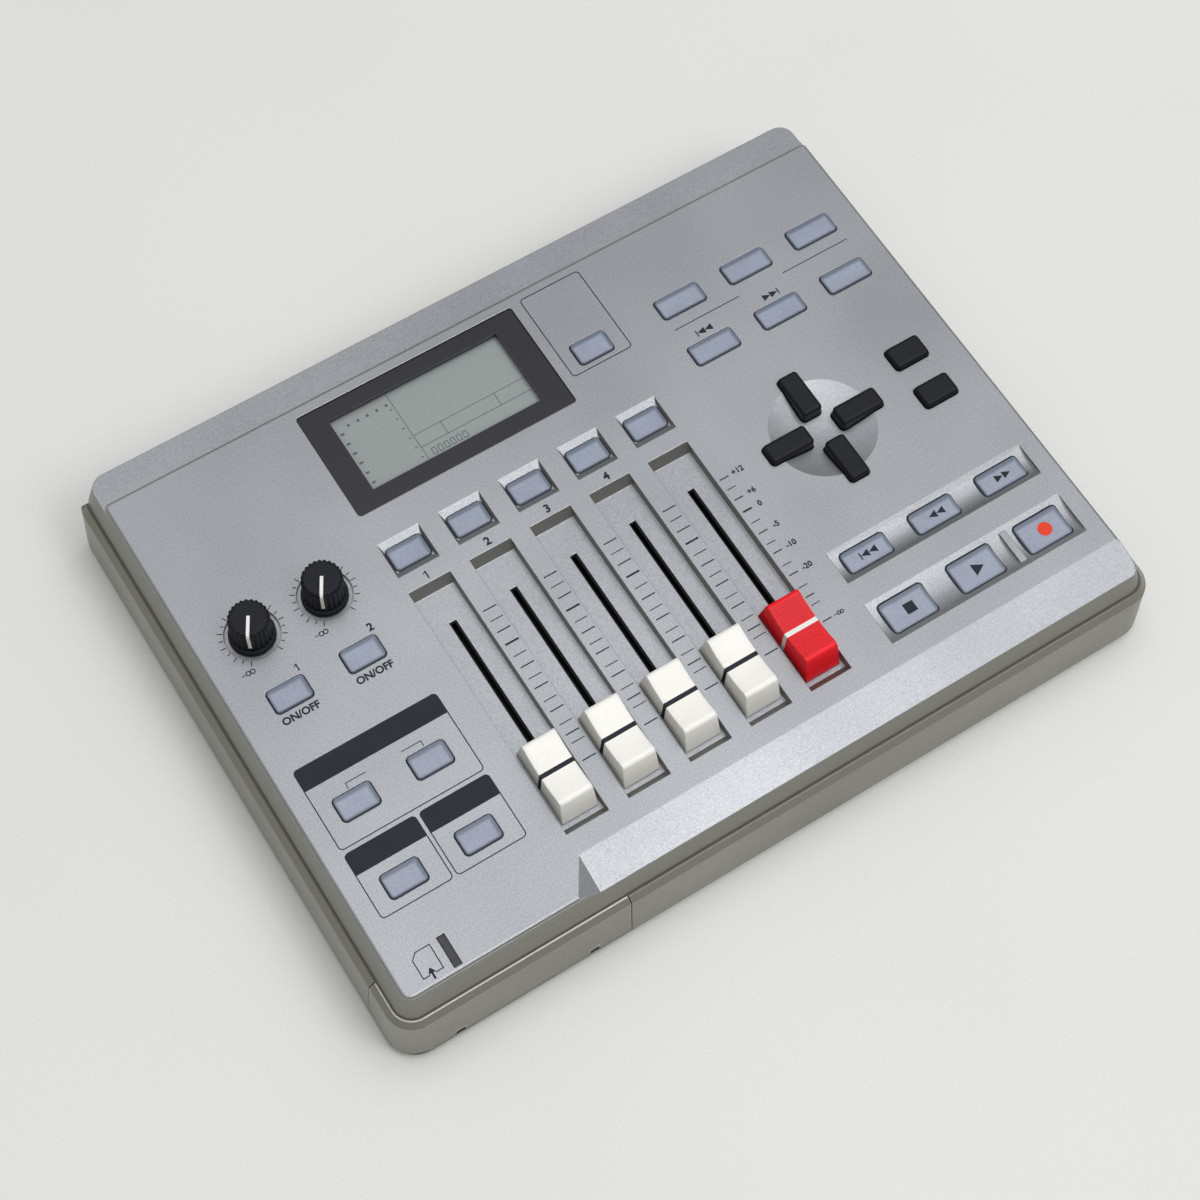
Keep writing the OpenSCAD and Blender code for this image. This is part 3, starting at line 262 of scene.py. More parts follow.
@dataclass(frozen=True)
class KeyFinish(Finish):
    """Smoky clear plastic, darker near a key's sides, where its walls show through and where painted shade
    lies, heaviest at the rear and right.
    """

    # Colour of the painted shade near a key's sides, its reach and share, then the reach and share of the
    # heavier painted shade at the rear and right.
    rim: str = "#4D5768"
    rim_mm: float = 0.9
    rim_share: float = 0.55
    far_mm: tuple[float, float] = (1.2, 2.0)
    far_share: float = 0.72
    right_less_mm: float = 0.4

    def tint(self, tree: Tree, place: Socket, grain: Socket) -> Socket:
        """Paints shade over the plain tint near a key's sides, most at the rear and right.

        Args:
            tree: the material's node tree.
            place: object coordinates.
            grain: fine noise.

        Returns:
            The colour.
        """
        plain = super().tint(tree, place, grain)
        low = add_node(tree, "ShaderNodeAttribute", attribute_name="from_low").outputs["Vector"]
        high = add_node(tree, "ShaderNodeAttribute", attribute_name="from_high").outputs["Vector"]
        near = add_node(tree, "ShaderNodeVectorMath", {0: low, 1: high}, operation="MINIMUM").outputs[0]
        sides = add_node(tree, "ShaderNodeSeparateXYZ", {0: near})
        edge = add_node(tree, "ShaderNodeMath", {0: sides.outputs[0], 1: sides.outputs[1]},
                        operation="MINIMUM")
        rim = add_node(tree, "ShaderNodeMapRange",
                       {"Value": edge.outputs[0], "From Max": self.rim_mm, "To Min": self.rim_share,
                        "To Max": 0.0}, interpolation_type="SMOOTHSTEP")
        ends = add_node(tree, "ShaderNodeSeparateXYZ", {0: high})
        right = add_node(tree, "ShaderNodeMath", {0: ends.outputs[0], 1: self.right_less_mm})
        reach = add_node(tree, "ShaderNodeMath", {0: right.outputs[0], 1: ends.outputs[1]},
                         operation="MINIMUM")
        rear_shade = add_node(tree, "ShaderNodeMapRange",
                       {"Value": reach.outputs[0], "From Min": self.far_mm[0], "From Max": self.far_mm[1],
                        "To Min": self.far_share, "To Max": 0.0})
        share = add_node(tree, "ShaderNodeMath", {0: rim.outputs[0], 1: rear_shade.outputs[0]}, operation="MAXIMUM")
        return add_node(tree, "ShaderNodeMix", {0: share.outputs[0], 6: plain, 7: linear(self.rim)},
                        data_type="RGBA").outputs[2]


@dataclass(frozen=True)
class CellFinish(Finish):
    """Liquid crystal cell: a plain tint with a fine net of cell borders."""

    net: str = "#7F8784"
    cell_mm: float = 0.55
    net_share: float = 0.06

    def tint(self, tree: Tree, place: Socket, grain: Socket) -> Socket:
        """Lays the net of cells over two close tints and returns the colour."""
        return add_node(tree, "ShaderNodeTexBrick",
                        {"Vector": place, "Color1": linear(self.colour), "Color2": linear(self.shade),
                         "Mortar": linear(self.net), "Scale": 1 / (self.cell_mm * MM),
                         "Mortar Size": self.net_share, "Brick Width": 1.0, "Row Height": 1.0},
                        offset=0.0).outputs["Color"]


# Silver lacquer on ABS: fine flakes give a soft metal sheen and a sandy grain, drawn coarse enough to show.
# Steep faces carry painted shade in a darker, warmer tint, and the edges carry a painted highlight.
SILVER = LacquerFinish("silver_lacquered_abs", "#A4A6A9", "#8E9094", 0.42, metallic=0.8, cloud_mm=60.0,
                       grain_mm=0.5, grain_depth_mm=0.012, soften_mm=0.3, edge="#DADBDD", edge_share=0.5,
                       edge_turn=0.92)
# The same lacquer, darker and warmer on the lower case as painted shade: painted light on its slanted brow,
# and painted shade on its level top edge and along its edges.
GREY = LacquerFinish("grey_lacquer_painted_light_and_shade", "#989790", "#89887F", 0.4, metallic=0.8, cloud_mm=50.0,
                     grain_mm=0.5, grain_depth_mm=0.01, soften_mm=0.3, edge="#77756D", edge_share=0.6,
                     thin="#A5A39A", full_rise=0.45, thin_rise=0.65, level_share=1.0)
# The door's lacquer: as the grey, with a painted highlight along its edges and no painted shade on level
# faces.
DOOR = replace(GREY, name="grey_lacquer_painted_edge_highlight", edge="#F4F4F0", edge_share=0.9, level_share=0.0)
# Polycarbonate keys: smoky and slightly blue, with a polished top, darker walls, and painted shade near the
# sides of each key, heaviest at the rear and right.
KEY = KeyFinish("smoky_polycarbonate", "#989FAF", "#8C92A3", 0.3, cloud_mm=9.0, grain_mm=0.8,
                grain_depth_mm=0.003, soften_mm=0.15, coat=0.1, ior=1.45)
# Spark-eroded black ABS: dull with a faint grain, grey on the corners that fingers rub.
BLACK = Finish("black_moulded_abs", "#0F1017", "#14151C", 0.55, cloud_mm=8.0, grain_mm=0.35,
               grain_depth_mm=0.01, soften_mm=0.2, edge="#2C2C33", edge_share=0.4, ior=1.34)
# White ABS caps: satin and faintly yellowed, with light that scatters inside and lifts the shaded sides.
WHITE = Finish("white_moulded_abs", "#F7F5EF", "#F1EEE6", 0.4, cloud_mm=12.0, grain_mm=0.5,
               grain_depth_mm=0.004, soften_mm=0.2, edge="#FBFAF6", edge_share=0.4, glow=0.6, glow_mm=3.0)
# Red ABS cap: satin and saturated, with a painted highlight on its edges and rib crests, and some light that
# scatters inside.
RED = Finish("red_moulded_abs", "#FA1022", "#EC0C1D", 0.45, cloud_mm=12.0, grain_mm=0.5, grain_depth_mm=0.004,
             soften_mm=0.15, edge="#FF6069", edge_share=0.7, edge_turn=0.92, ior=1.38, glow=0.4, glow_mm=2.0)
# Back-printed acrylic window: near black under a polished face, with a painted highlight along its edges.
ACRYLIC = Finish("black_backed_acrylic", "#211F28", "#1D1B23", 0.3, cloud_mm=25.0, grain_mm=1.5,
                 grain_depth_mm=0.001, soften_mm=0.1, edge="#B9BFCC", edge_share=0.5, ior=1.45)
# Liquid crystal glass: grey green with a fine net of cells.
CELL = CellFinish("liquid_crystal_glass", "#969D9B", "#929997", 0.25, grain_mm=2.0, grain_depth_mm=0.001,
                  coat=0.2, ior=1.4)
# Driven segments of the display: a darker tone of the cell.
SEGMENT = Finish("driven_crystal_segment", "#555D5C", "#4E5655", 0.35, cloud_mm=2.0, ior=1.4)
# Pad-printed inks, dark, white and red: dull and dense, with a slightly open grain.
INK = Finish("pad_printed_dark_ink", "#1A1D27", "#20232D", 0.6, cloud_mm=6.0, grain_mm=0.3,
             grain_depth_mm=0.003, ior=1.35)
WHITE_INK = Finish("pad_printed_white_ink", "#EDEDEA", "#DFDFDB", 0.5, cloud_mm=4.0, grain_mm=0.3,
                   grain_depth_mm=0.004)
RED_INK = Finish("pad_printed_red_ink", "#E63A12", "#DB3411", 0.5, cloud_mm=4.0, grain_mm=0.3,
                 grain_depth_mm=0.004, ior=1.4)
# Black nylon felt beside the levers: takes nearly all light, and stands as painted shade that keeps the slots
# dark.
FELT = Finish("black_felt_painted_slot_shade", "#0D0D0F", "#151517", 0.9, cloud_mm=1.5, grain_mm=0.3, grain_depth_mm=0.05)
# Nickel-plated brass nuts: bright, with fine turning marks blurred to a soft gloss.
NICKEL = Finish("nickel_plated_brass", "#C9C6BE", "#BDBAB2", 0.24, metallic=1.0, cloud_mm=5.0, grain_mm=0.4,
                grain_depth_mm=0.006, soften_mm=0.2)
# Zinc-plated steel screws and metalwork: grey and a little cloudy.
ZINC = Finish("zinc_plated_steel", "#B7B9BD", "#A3A5AA", 0.35, metallic=1.0, cloud_mm=4.0, grain_mm=0.5)
# Steel of the fader tracks, darkened as painted shade so the slots read black, with a low gloss.
BLACK_STEEL = Finish("steel_darkened_as_painted_shade", "#1C1C1F", "#26262A", 0.5, metallic=0.7, cloud_mm=6.0)
# Solder mask over a glass fibre board: deep green and glossy.
BOARD = Finish("green_solder_mask", "#1F5B3A", "#1A4D32", 0.3, cloud_mm=5.0, grain_mm=1.0)
# Moulded rubber feet: dark, dull and slightly chalky.
RUBBER = Finish("moulded_rubber", "#1B1B1D", "#262628", 0.8, cloud_mm=3.0, grain_mm=0.4, grain_depth_mm=0.03)
# Foam strip in the seam: dull olive grey.
SEAL = Finish("seam_foam", "#6B6960", "#625F57", 0.8, cloud_mm=4.0, grain_mm=0.5, grain_depth_mm=0.02)
# Matt paint of the studio floor: off-white with faint slow changes of tone.
FLOOR = Finish("pale_matt_paint", "#E4E4E1", "#DFDFDB", 0.9, cloud_mm=160.0, grain_mm=0.9,
               grain_depth_mm=0.05)


def box_mm(node: str) -> tuple[Vector, Vector]:
    """Returns the lowest and highest corner of a node in millimetres."""
    low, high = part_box(node)
    return low / MM, high / MM


def middle_of(node: str) -> Point:
    """Returns the middle of a node's footprint in millimetres."""
    low, high = box_mm(node)
    return (low.x + high.x) / 2, (low.y + high.y) / 2


def points_mm(node: str) -> list[Vector]:
    """Returns the points of a node's solid in millimetres."""
    return [v.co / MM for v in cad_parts[node].data.vertices]


def span(points: Sequence[Vector]) -> tuple[Vector, Vector]:
    """Returns the lowest and highest corner of some points."""
    low, high = (Vector([pick(p[axis] for p in points) for axis in range(3)]) for pick in (min, max))
    return low, high


def all_of(bm: Mesh) -> list:
    """Returns all the points, edges and faces of a mesh."""
    return [*bm.verts, *bm.edges, *bm.faces]


def round_edges(bm: Mesh, edges: Iterable, offset: float, segments: int) -> None:
    """Rounds edges.

    Args:
        bm: mesh in millimetres.
        edges: edges to round.
        offset: distance from the edge at which the round begins.
        segments: steps over the round.
    """
    bmesh.ops.bevel(bm, geom=list(edges), offset=offset, offset_type="OFFSET", segments=segments, profile=0.5,
                    affect="EDGES", material=-1, clamp_overlap=True)


def edges_at(bm: Mesh, z: float) -> list:
    """Returns the edges that lie level at a height."""
    return [e for e in bm.edges if all(abs(v.co.z - z) < TOUCH for v in e.verts)]


def block(low: Sequence[float], high: Sequence[float], corner: float = 0.0, rim: float = 0.0,
          steps: int = 3) -> Mesh:
    """Makes an upright block with round corners and a rounded top edge.

    Args:
        low: lowest corner in millimetres.
        high: highest corner.
        corner: radius of the upright edges.
        rim: rounding of the top edge.
        steps: segments over each rounding.

    Returns:
        A closed mesh.
    """
    bm = bmesh.new()
    middle = [(a + b) / 2 for a, b in zip(low, high)]
    size = [b - a for a, b in zip(low, high)]
    bmesh.ops.create_cube(bm, size=1.0, matrix=Matrix.Translation(middle) @ Matrix.Diagonal((*size, 1.0)))
    if corner:
        upright = [e for e in bm.edges if abs(e.verts[0].co.z - e.verts[1].co.z) > TOUCH]
        round_edges(bm, upright, corner, steps + 1)
    if rim:
        round_edges(bm, edges_at(bm, high[2]), rim, steps)
    return bm


def turned(profile: Sequence[Point], steps: int, ring: bool = False) -> Mesh:
    """Turns a profile of radius and height about the upright axis.

    Args:
        profile: points of radius and height.
        steps: segments around.
        ring: whether the profile closes on itself.

    Returns:
        A mesh around the origin.
    """
    bm = bmesh.new()
    verts = [bm.verts.new((r, 0.0, z)) for r, z in profile]
    pairs = list(zip(verts, verts[1:])) + ([(verts[-1], verts[0])] if ring else [])
    edges = [bm.edges.new(pair) for pair in pairs]
    bmesh.ops.spin(bm, geom=verts + edges, cent=(0, 0, 0), axis=(0, 0, 1), angle=math.tau, steps=steps,
                   use_merge=True)
    bmesh.ops.remove_doubles(bm, verts=bm.verts, dist=TOUCH)
    bmesh.ops.recalc_face_normals(bm, faces=bm.faces)
    return bm


def plate(outline: Sequence[Point], z0: float, z1: float) -> Mesh:
    """Extrudes a flat outline of a few points.

    Args:
        outline: its points in order.
        z0: underside.
        z1: top.

    Returns:
        A closed mesh.
    """
    bm = bmesh.new()
    face = bm.faces.new([bm.verts.new((x, y, z0)) for x, y in outline])
    return extruded(bm, [face], (0, 0, z1 - z0))


def extruded(bm: Mesh, faces: Iterable, way: Sequence[float]) -> Mesh:
    """Gives flat faces a thickness.

    Args:
        bm: mesh in millimetres.
        faces: the faces.
        way: how far the new side lies from them.

    Returns:
        The same mesh.
    """
    made = bmesh.ops.extrude_face_region(bm, geom=list(faces))
    lifted = [v for v in made["geom"] if isinstance(v, bmesh.types.BMVert)]
    bmesh.ops.translate(bm, verts=lifted, vec=way)
    return bm


def flat_face(low: Point, high: Point, z: float, corner: float, rear_only: bool = False,
              steps: int = 4) -> Mesh:
    """Makes a flat rectangle with round corners.

    Args:
        low: left front corner.
        high: right rear corner.
        z: its height.
        corner: radius of its corners.
        rear_only: whether only the two rear corners are round.
        steps: segments over each corner.

    Returns:
        A mesh of one face.
    """
    bm = bmesh.new()
    outline = (low, (high[0], low[1]), high, (low[0], high[1]))
    bm.faces.new([bm.verts.new((x, y, z)) for x, y in outline])
    chosen = [v for v in bm.verts if not rear_only or v.co.y > low[1] + TOUCH]
    bmesh.ops.bevel(bm, geom=chosen, offset=corner, offset_type="OFFSET", segments=steps, profile=0.5,
                    affect="VERTICES", material=-1)
    return bm


def outline_frame(low: Point, high: Point, corner: float, line: float, z0: float, z1: float,
                  steps: int = 4) -> Mesh:
    """Makes a thin rounded frame.

    Args:
        low: left front corner.
        high: right rear corner.
        corner: radius of its corners.
        line: width of its line.
        z0: underside.
        z1: top.
        steps: segments over each corner.

    Returns:
        A closed mesh.
    """
    bm = flat_face(low, high, z0, corner, steps=steps)
    ring = set(bmesh.ops.inset_region(bm, faces=list(bm.faces), thickness=line, use_boundary=True,
                                      use_even_offset=True)["faces"])
    bmesh.ops.delete(bm, geom=[f for f in bm.faces if f not in ring], context="FACES")
    return extruded(bm, bm.faces, (0, 0, z1 - z0))


def lettering(words: str, size: float, at: Point, z0: float, z1: float) -> Mesh:
    """Makes plain numerals or signs as a thin mesh.

    Args:
        words: what to draw.
        size: letter size in millimetres.
        at: middle of the words.
        z0: underside.
        z1: top.

    Returns:
        A mesh in place.
    """
    curve = bpy.data.curves.new("lettering", "FONT")
    curve.body, curve.size = words, size
    curve.align_x, curve.align_y = "CENTER", "CENTER"
    curve.resolution_u, curve.extrude = 3, (z1 - z0) / 2
    curve.offset = BOLD * size
    holder = bpy.data.objects.new("lettering", curve)
    bpy.context.scene.collection.objects.link(holder)
    bpy.context.view_layer.update()
    mesh = bpy.data.meshes.new_from_object(holder.evaluated_get(bpy.context.evaluated_depsgraph_get()))
    bm = bmesh.new()
    bm.from_mesh(mesh)
    bpy.data.objects.remove(holder)
    bpy.data.curves.remove(curve)
    bpy.data.meshes.remove(mesh)
    bmesh.ops.remove_doubles(bm, verts=bm.verts, dist=TOUCH)
    bmesh.ops.translate(bm, verts=bm.verts, vec=(at[0], at[1], (z0 + z1) / 2))
    return bm


def moved(bm: Mesh, matrix: Matrix) -> Mesh:
    """Places a mesh and returns it."""
    bmesh.ops.transform(bm, matrix=matrix, verts=bm.verts)
    return bm


def set_at(bm: Mesh, x: float, y: float, z: float = 0.0) -> Mesh:
    """Shifts a mesh to a place and returns it."""
    return moved(bm, Matrix.Translation((x, y, z)))


def joined(parts: Iterable[Mesh]) -> Mesh:
    """Gathers meshes into one.

    Args:
        parts: meshes, which are used up.

    Returns:
        The new mesh.
    """
    whole = bmesh.new()
    for part in parts:
        mesh = bpy.data.meshes.new("part")
        part.to_mesh(mesh)
        part.free()
        whole.from_mesh(mesh)
        bpy.data.meshes.remove(mesh)
    return whole


def cut_away(bm: Mesh, place: Sequence[float], way: Sequence[float]) -> Mesh:
    """Cuts a closed mesh at a plane and closes the cut.

    Args:
        bm: mesh in millimetres.
        place: a point on the plane.
        way: direction that points at what is taken away.

    Returns:
        The same mesh.
    """
    bmesh.ops.bisect_plane(bm, geom=all_of(bm), plane_co=place, plane_no=way, clear_outer=True)
    bmesh.ops.holes_fill(bm, edges=[e for e in bm.edges if e.is_boundary])
    return bm


def make_piece(name: str, bm: Mesh, finishes: Sequence[Finish], body: str,
               stands_for: Sequence[str] = ()) -> bpy.types.Object:
    """Turns a mesh in millimetres into a piece that rides on a body.

    Args:
        name: the piece's name.
        bm: its mesh, which is used up.
        finishes: its finishes, by the mesh's material numbers.
        body: the body it moves with.
        stands_for: solids that it replaces.

    Returns:
        The piece.
    """
    bmesh.ops.scale(bm, vec=(MM, MM, MM), verts=bm.verts)
    bmesh.ops.recalc_face_normals(bm, faces=bm.faces)
    mesh = bpy.data.meshes.new(name)
    bm.to_mesh(mesh)
    bm.free()
    for finish in finishes:
        mesh.materials.append(finish.material())
    mesh.shade_smooth()
    mesh.set_sharp_from_angle(angle=math.radians(SHARP_DEG))
    piece = bpy.data.objects.new(name, mesh)
    bpy.context.scene.collection.objects.link(piece)
    piece.modifiers.new("level_shading", "WEIGHTED_NORMAL").keep_sharp = True
    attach(piece, body)
    if stands_for:
        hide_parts(*stands_for)
    log.info("%s rides on %s: %d faces", name, body, len(mesh.polygons))
    return piece


class Sign(Enum):
    """Signs printed on the transport keys, by the key's solid."""

    STOP = "stop_key"
    PLAY = "play_key"
    RECORD = "record_key"
    ZERO = "zero_key"
    REWIND = "rewind_key"
    FORWARD = "forward_key"


@dataclass
class KeySet:
    """The keys: bevelled caps with their flanges, stems and printed signs."""

    flange_reach: float = 0.7
    flange_t: float = 1.0
    corner: float = 1.2
    rim: float = 0.55
    black_rim: float = 1.5
    rim_steps: int = 4
    stem_r: float = 2.0
    stem_least: float = 0.5
    stem_sink: float = 0.01
    film: float = 0.04
    sign_shift: Point = (0.5, -0.2)
    stop_half: float = 1.7
    play_arrow: tuple[float, float, float] = (-1.6, 3.6, 4.0)
    record_r: float = 2.2
    pair_w: float = 2.6
    pair_tall: float = 2.4
    pair_step: float = 2.7
    bar_left: float = -3.0
    bar_w: float = 0.4

    def cap(self, node: str, dark: bool) -> None:
        """Builds one key.

        Args:
            node: the key's solid.
            dark: whether it is a black key.
        """
        low, high = box_mm(node)
        edge = self.flange_reach
        flange = next(z for z in self.levels(node) if z > low.z + self.stem_least)
        top = block((low.x + edge, low.y + edge, flange), (high.x - edge, high.y - edge, high.z), self.corner,
                    self.black_rim if dark else self.rim, self.rim_steps)
        collar = block((low.x, low.y, flange), (high.x, high.y, flange + self.flange_t), self.corner)
        stem_top = flange + self.stem_sink
        stem = turned([(0, low.z), (self.stem_r, low.z), (self.stem_r, stem_top), (0, stem_top)],
                      SLIM_STEPS)
        set_at(stem, *middle_of(node))
        finish, slot = (BLACK, "black_plastic") if dark else (KEY, "key_plastic")
        piece = make_piece(f"{node}_cap", joined([top, collar, stem]), [finish], f"{node}_body", [node])
        if not dark:
            self.note_sides(piece, low, high)

    @staticmethod
    def levels(node: str) -> list[float]:
        """Returns the heights of a solid's points in millimetres, from the lowest up."""
        return sorted({round(p.z, 3) for p in points_mm(node)})

    def note_sides(self, piece: bpy.types.Object, low: Vector, high: Vector) -> None:
        """Stores each point's distance from a key's sides in millimetres, for the painted shade of its
        finish.

        Args:
            piece: the key.
            low: lowest corner of its solid.
            high: highest corner of its solid.
        """
        edge = Vector((self.flange_reach, self.flange_reach, 0.0))
        points = [v.co / MM for v in piece.data.vertices]
        for name, sides in (("from_low", [p - low - edge for p in points]),
                            ("from_high", [high - edge - p for p in points])):
            flat = [value for side in sides for value in side]
            piece.data.attributes.new(name, "FLOAT_VECTOR", "POINT").data.foreach_set("vector", flat)

    def sign_marks(self, sign: Sign, x: float, y: float, z: float) -> list[Mesh]:
        """Makes the flat marks of a sign.

        Args:
            sign: which sign.
            x: middle of the sign.
            y: middle of the sign.
            z: the key's top.

        Returns:
            Thin meshes.
        """
        top, half, tall = z + self.film, self.stop_half, self.pair_tall / 2

        def arrow(left: float, width: float, height: float) -> Mesh:
            """Returns a triangle from its blunt side, pointing by the sign of its width."""
            blunt, rise = x + left, height / 2
            return plate([(blunt, y - rise), (blunt + width, y), (blunt, y + rise)], z, top)

        def pair(way: int) -> list[Mesh]:
            """Returns two arrows in a row that both point left or right."""
            starts = sorted((-way * self.pair_step, 0.0))
            return [arrow(start, way * self.pair_w, self.pair_tall) for start in starts]

        if sign is Sign.STOP:
            return [block((x - half, y - half, z), (x + half, y + half, top))]
        if sign is Sign.PLAY:
            return [arrow(*self.play_arrow)]
        if sign is Sign.RECORD:
            dot = [(0, z), (self.record_r, z), (self.record_r, top), (0, top)]
            return [set_at(turned(dot, WIDE_STEPS), x, y)]
        if sign is Sign.FORWARD:
            return pair(1)
        left = x + self.bar_left
        bar = [block((left, y - tall, z), (left + self.bar_w, y + tall, top))] if sign is Sign.ZERO else []
        return bar + pair(-1)

    def build(self) -> None:
        """Builds every key and the transport signs."""
        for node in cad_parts:
            if node.endswith("_key") or "_key_" in node:
                self.cap(node, node.startswith("cursor") or node in ("enter_key", "exit_key"))
        for sign in Sign:
            x, y = (place + shift for place, shift in zip(middle_of(sign.value), self.sign_shift))
            marks = self.sign_marks(sign, x, y, box_mm(sign.value)[1].z)
            make_piece(f"{sign.value}_sign", joined(marks), [RED_INK if sign is Sign.RECORD else INK],
                       f"{sign.value}_body")


@dataclass
class FaderSet:
    """The fader caps, hollowed across the top, and the felt strips beside their levers."""

    count: int = 5
    end_taper: float = 2.2
    side_taper: float = 0.5
    hollow: float = 1.9
    hollow_steps: int = 14
    crest_round: float = 1.7
    edge_round: float = 0.65
    sharp_deg: float = 50.0
    near: float = 0.01
    foot_clear: float = 0.1
    least_upright: float = 5.0
    band: float = 1.4
    band_least_rise: float = -0.5
    # Finger ribs of the master cap.
    ribs: int = 10
    rib_start: float = 1.15
    rib_pitch: float = 0.82
    rib_half: float = 0.22
    rib_h: float = 0.28
    rib_sink: float = 0.1
    rib_round: float = 0.14
    rib_inset: float = 0.35
    # Felt strips in the slots.
    slot_half: float = 1.14
    lever_half: float = 0.66
    strip_low: float = 31.3
    strip_top: float = 32.3
    strip_rim: float = 0.12
    slot_len: float = 59.4
    slot_middle: float = -28.35

    def cap(self, number: int) -> None:
        """Builds the cap of one fader.

        Args:
            number: the fader's number, from the left. The last one is the master.
        """
        node = f"fader_cap_{number}"
        low, high = box_mm(node)
        foot, half_w = (high.y - low.y) / 2, (high.x - low.x) / 2
        chord = foot - self.end_taper
        radius = (chord ** 2 + self.hollow ** 2) / (2 * self.hollow)
        centre = high.z - self.hollow + radius
        bm = bmesh.new()
        crest = bm.verts.new((-half_w, -chord, high.z))
        bmesh.ops.spin(bm, geom=[crest], cent=(0, 0, centre), axis=(1, 0, 0),
                       angle=2 * math.asin(chord / radius), steps=self.hollow_steps)
        arc = sorted(bm.verts, key=lambda v: v.co.y)
        feet = [bm.verts.new((-half_w, side * foot, low.z)) for side in (1, -1)]
        bm.faces.new(arc + feet)
        extruded(bm, bm.faces, (2 * half_w, 0, 0))
        for vert in bm.verts:
            taper = self.side_taper * (vert.co.z - low.z) / (high.z - low.z)
            vert.co.x -= math.copysign(taper, vert.co.x)
        bmesh.ops.recalc_face_normals(bm, faces=bm.faces)
        self.round_off(bm, chord, low.z, high.z)
        self.mark_band(bm)
        parts, body, finishes, slot = [bm], f"fader_{number}", [WHITE, INK], "white_cap"
        if number == self.count:
            parts += self.rib_bars(half_w - self.side_taper - self.rib_inset, radius, centre)
            body, finishes, slot = "master_fader", [RED, WHITE_INK], "red_cap"
        make_piece(f"{node}_moulding", set_at(joined(parts), *middle_of(node)), finishes, body, [node])

    def round_off(self, bm: Mesh, chord: float, foot: float, top: float) -> None:
        """Rounds a cap's crests, and then its other edges above the foot.

        Args:
            bm: the cap.
            chord: distance from its middle to each crest.
            foot: height of its underside.
            top: height of its crests.
        """
        crests = [e for e in bm.edges if all(abs(abs(v.co.y) - chord) < self.near and v.co.z > top - self.near
                                             for v in e.verts)]
        round_edges(bm, crests, self.crest_round, segments=5)
        sides = [e for e in bm.edges if len(e.link_faces) == 2
                 and all(v.co.z > foot + self.foot_clear for v in e.verts)
                 and e.calc_face_angle(0) > math.radians(self.sharp_deg)]
        uprights = [e for e in bm.edges if abs(e.verts[0].co.z - e.verts[1].co.z) > self.least_upright]
        round_edges(bm, dict.fromkeys(sides + uprights), self.edge_round, segments=3)

    def mark_band(self, bm: Mesh) -> None:
        """Cuts the printed band across a cap and gives it the second finish.

        Args:
            bm: the cap.
        """
        half = self.band / 2
        for y in (-half, half):
            bmesh.ops.bisect_plane(bm, geom=all_of(bm), plane_co=(0, y, 0), plane_no=(0, 1, 0))
        for face in bm.faces:
            if abs(face.calc_center_median().y) < half and face.normal.z > self.band_least_rise:
                face.material_index = 1

    def rib_bars(self, half: float, radius: float, centre: float) -> list[Mesh]:
        """Makes the finger ribs in the hollow of the master cap.

        Args:
            half: half length of a rib.
            radius: radius of the hollow.
            centre: height of the hollow's axis.

        Returns:
            One small bar for each rib.
        """
        bars = []
        for side in (-1, 1):
            for step in range(self.ribs):
                angle = side * (self.rib_start + step * self.rib_pitch) / radius
                bar = block((-half, -self.rib_half, -radius - self.rib_sink),
                            (half, self.rib_half, -radius + self.rib_h), rim=self.rib_round, steps=2)
                turn = Matrix.Translation((0, 0, centre)) @ Matrix.Rotation(angle, 4, "X")
                bars.append(moved(bar, turn))
        return bars

    def felt_strips(self) -> None:
        """Builds the felt strips that close the slots beside the levers."""
        strips = []
        front, rear = self.slot_middle - self.slot_len / 2, self.slot_middle + self.slot_len / 2
        for number in range(1, self.count + 1):
            x = middle_of(f"fader_lever_{number}")[0]
            for left, right in ((-self.slot_half, -self.lever_half), (self.lever_half, self.slot_half)):
                strips.append(block((x + left, front, self.strip_low), (x + right, rear, self.strip_top),
                                    rim=self.strip_rim, steps=2))
        make_piece("slot_felts", joined(strips), [FELT], "case")

    def build(self) -> None:
        """Builds the caps and strips."""
        for number in range(1, self.count + 1):
            self.cap(number)
        self.felt_strips()


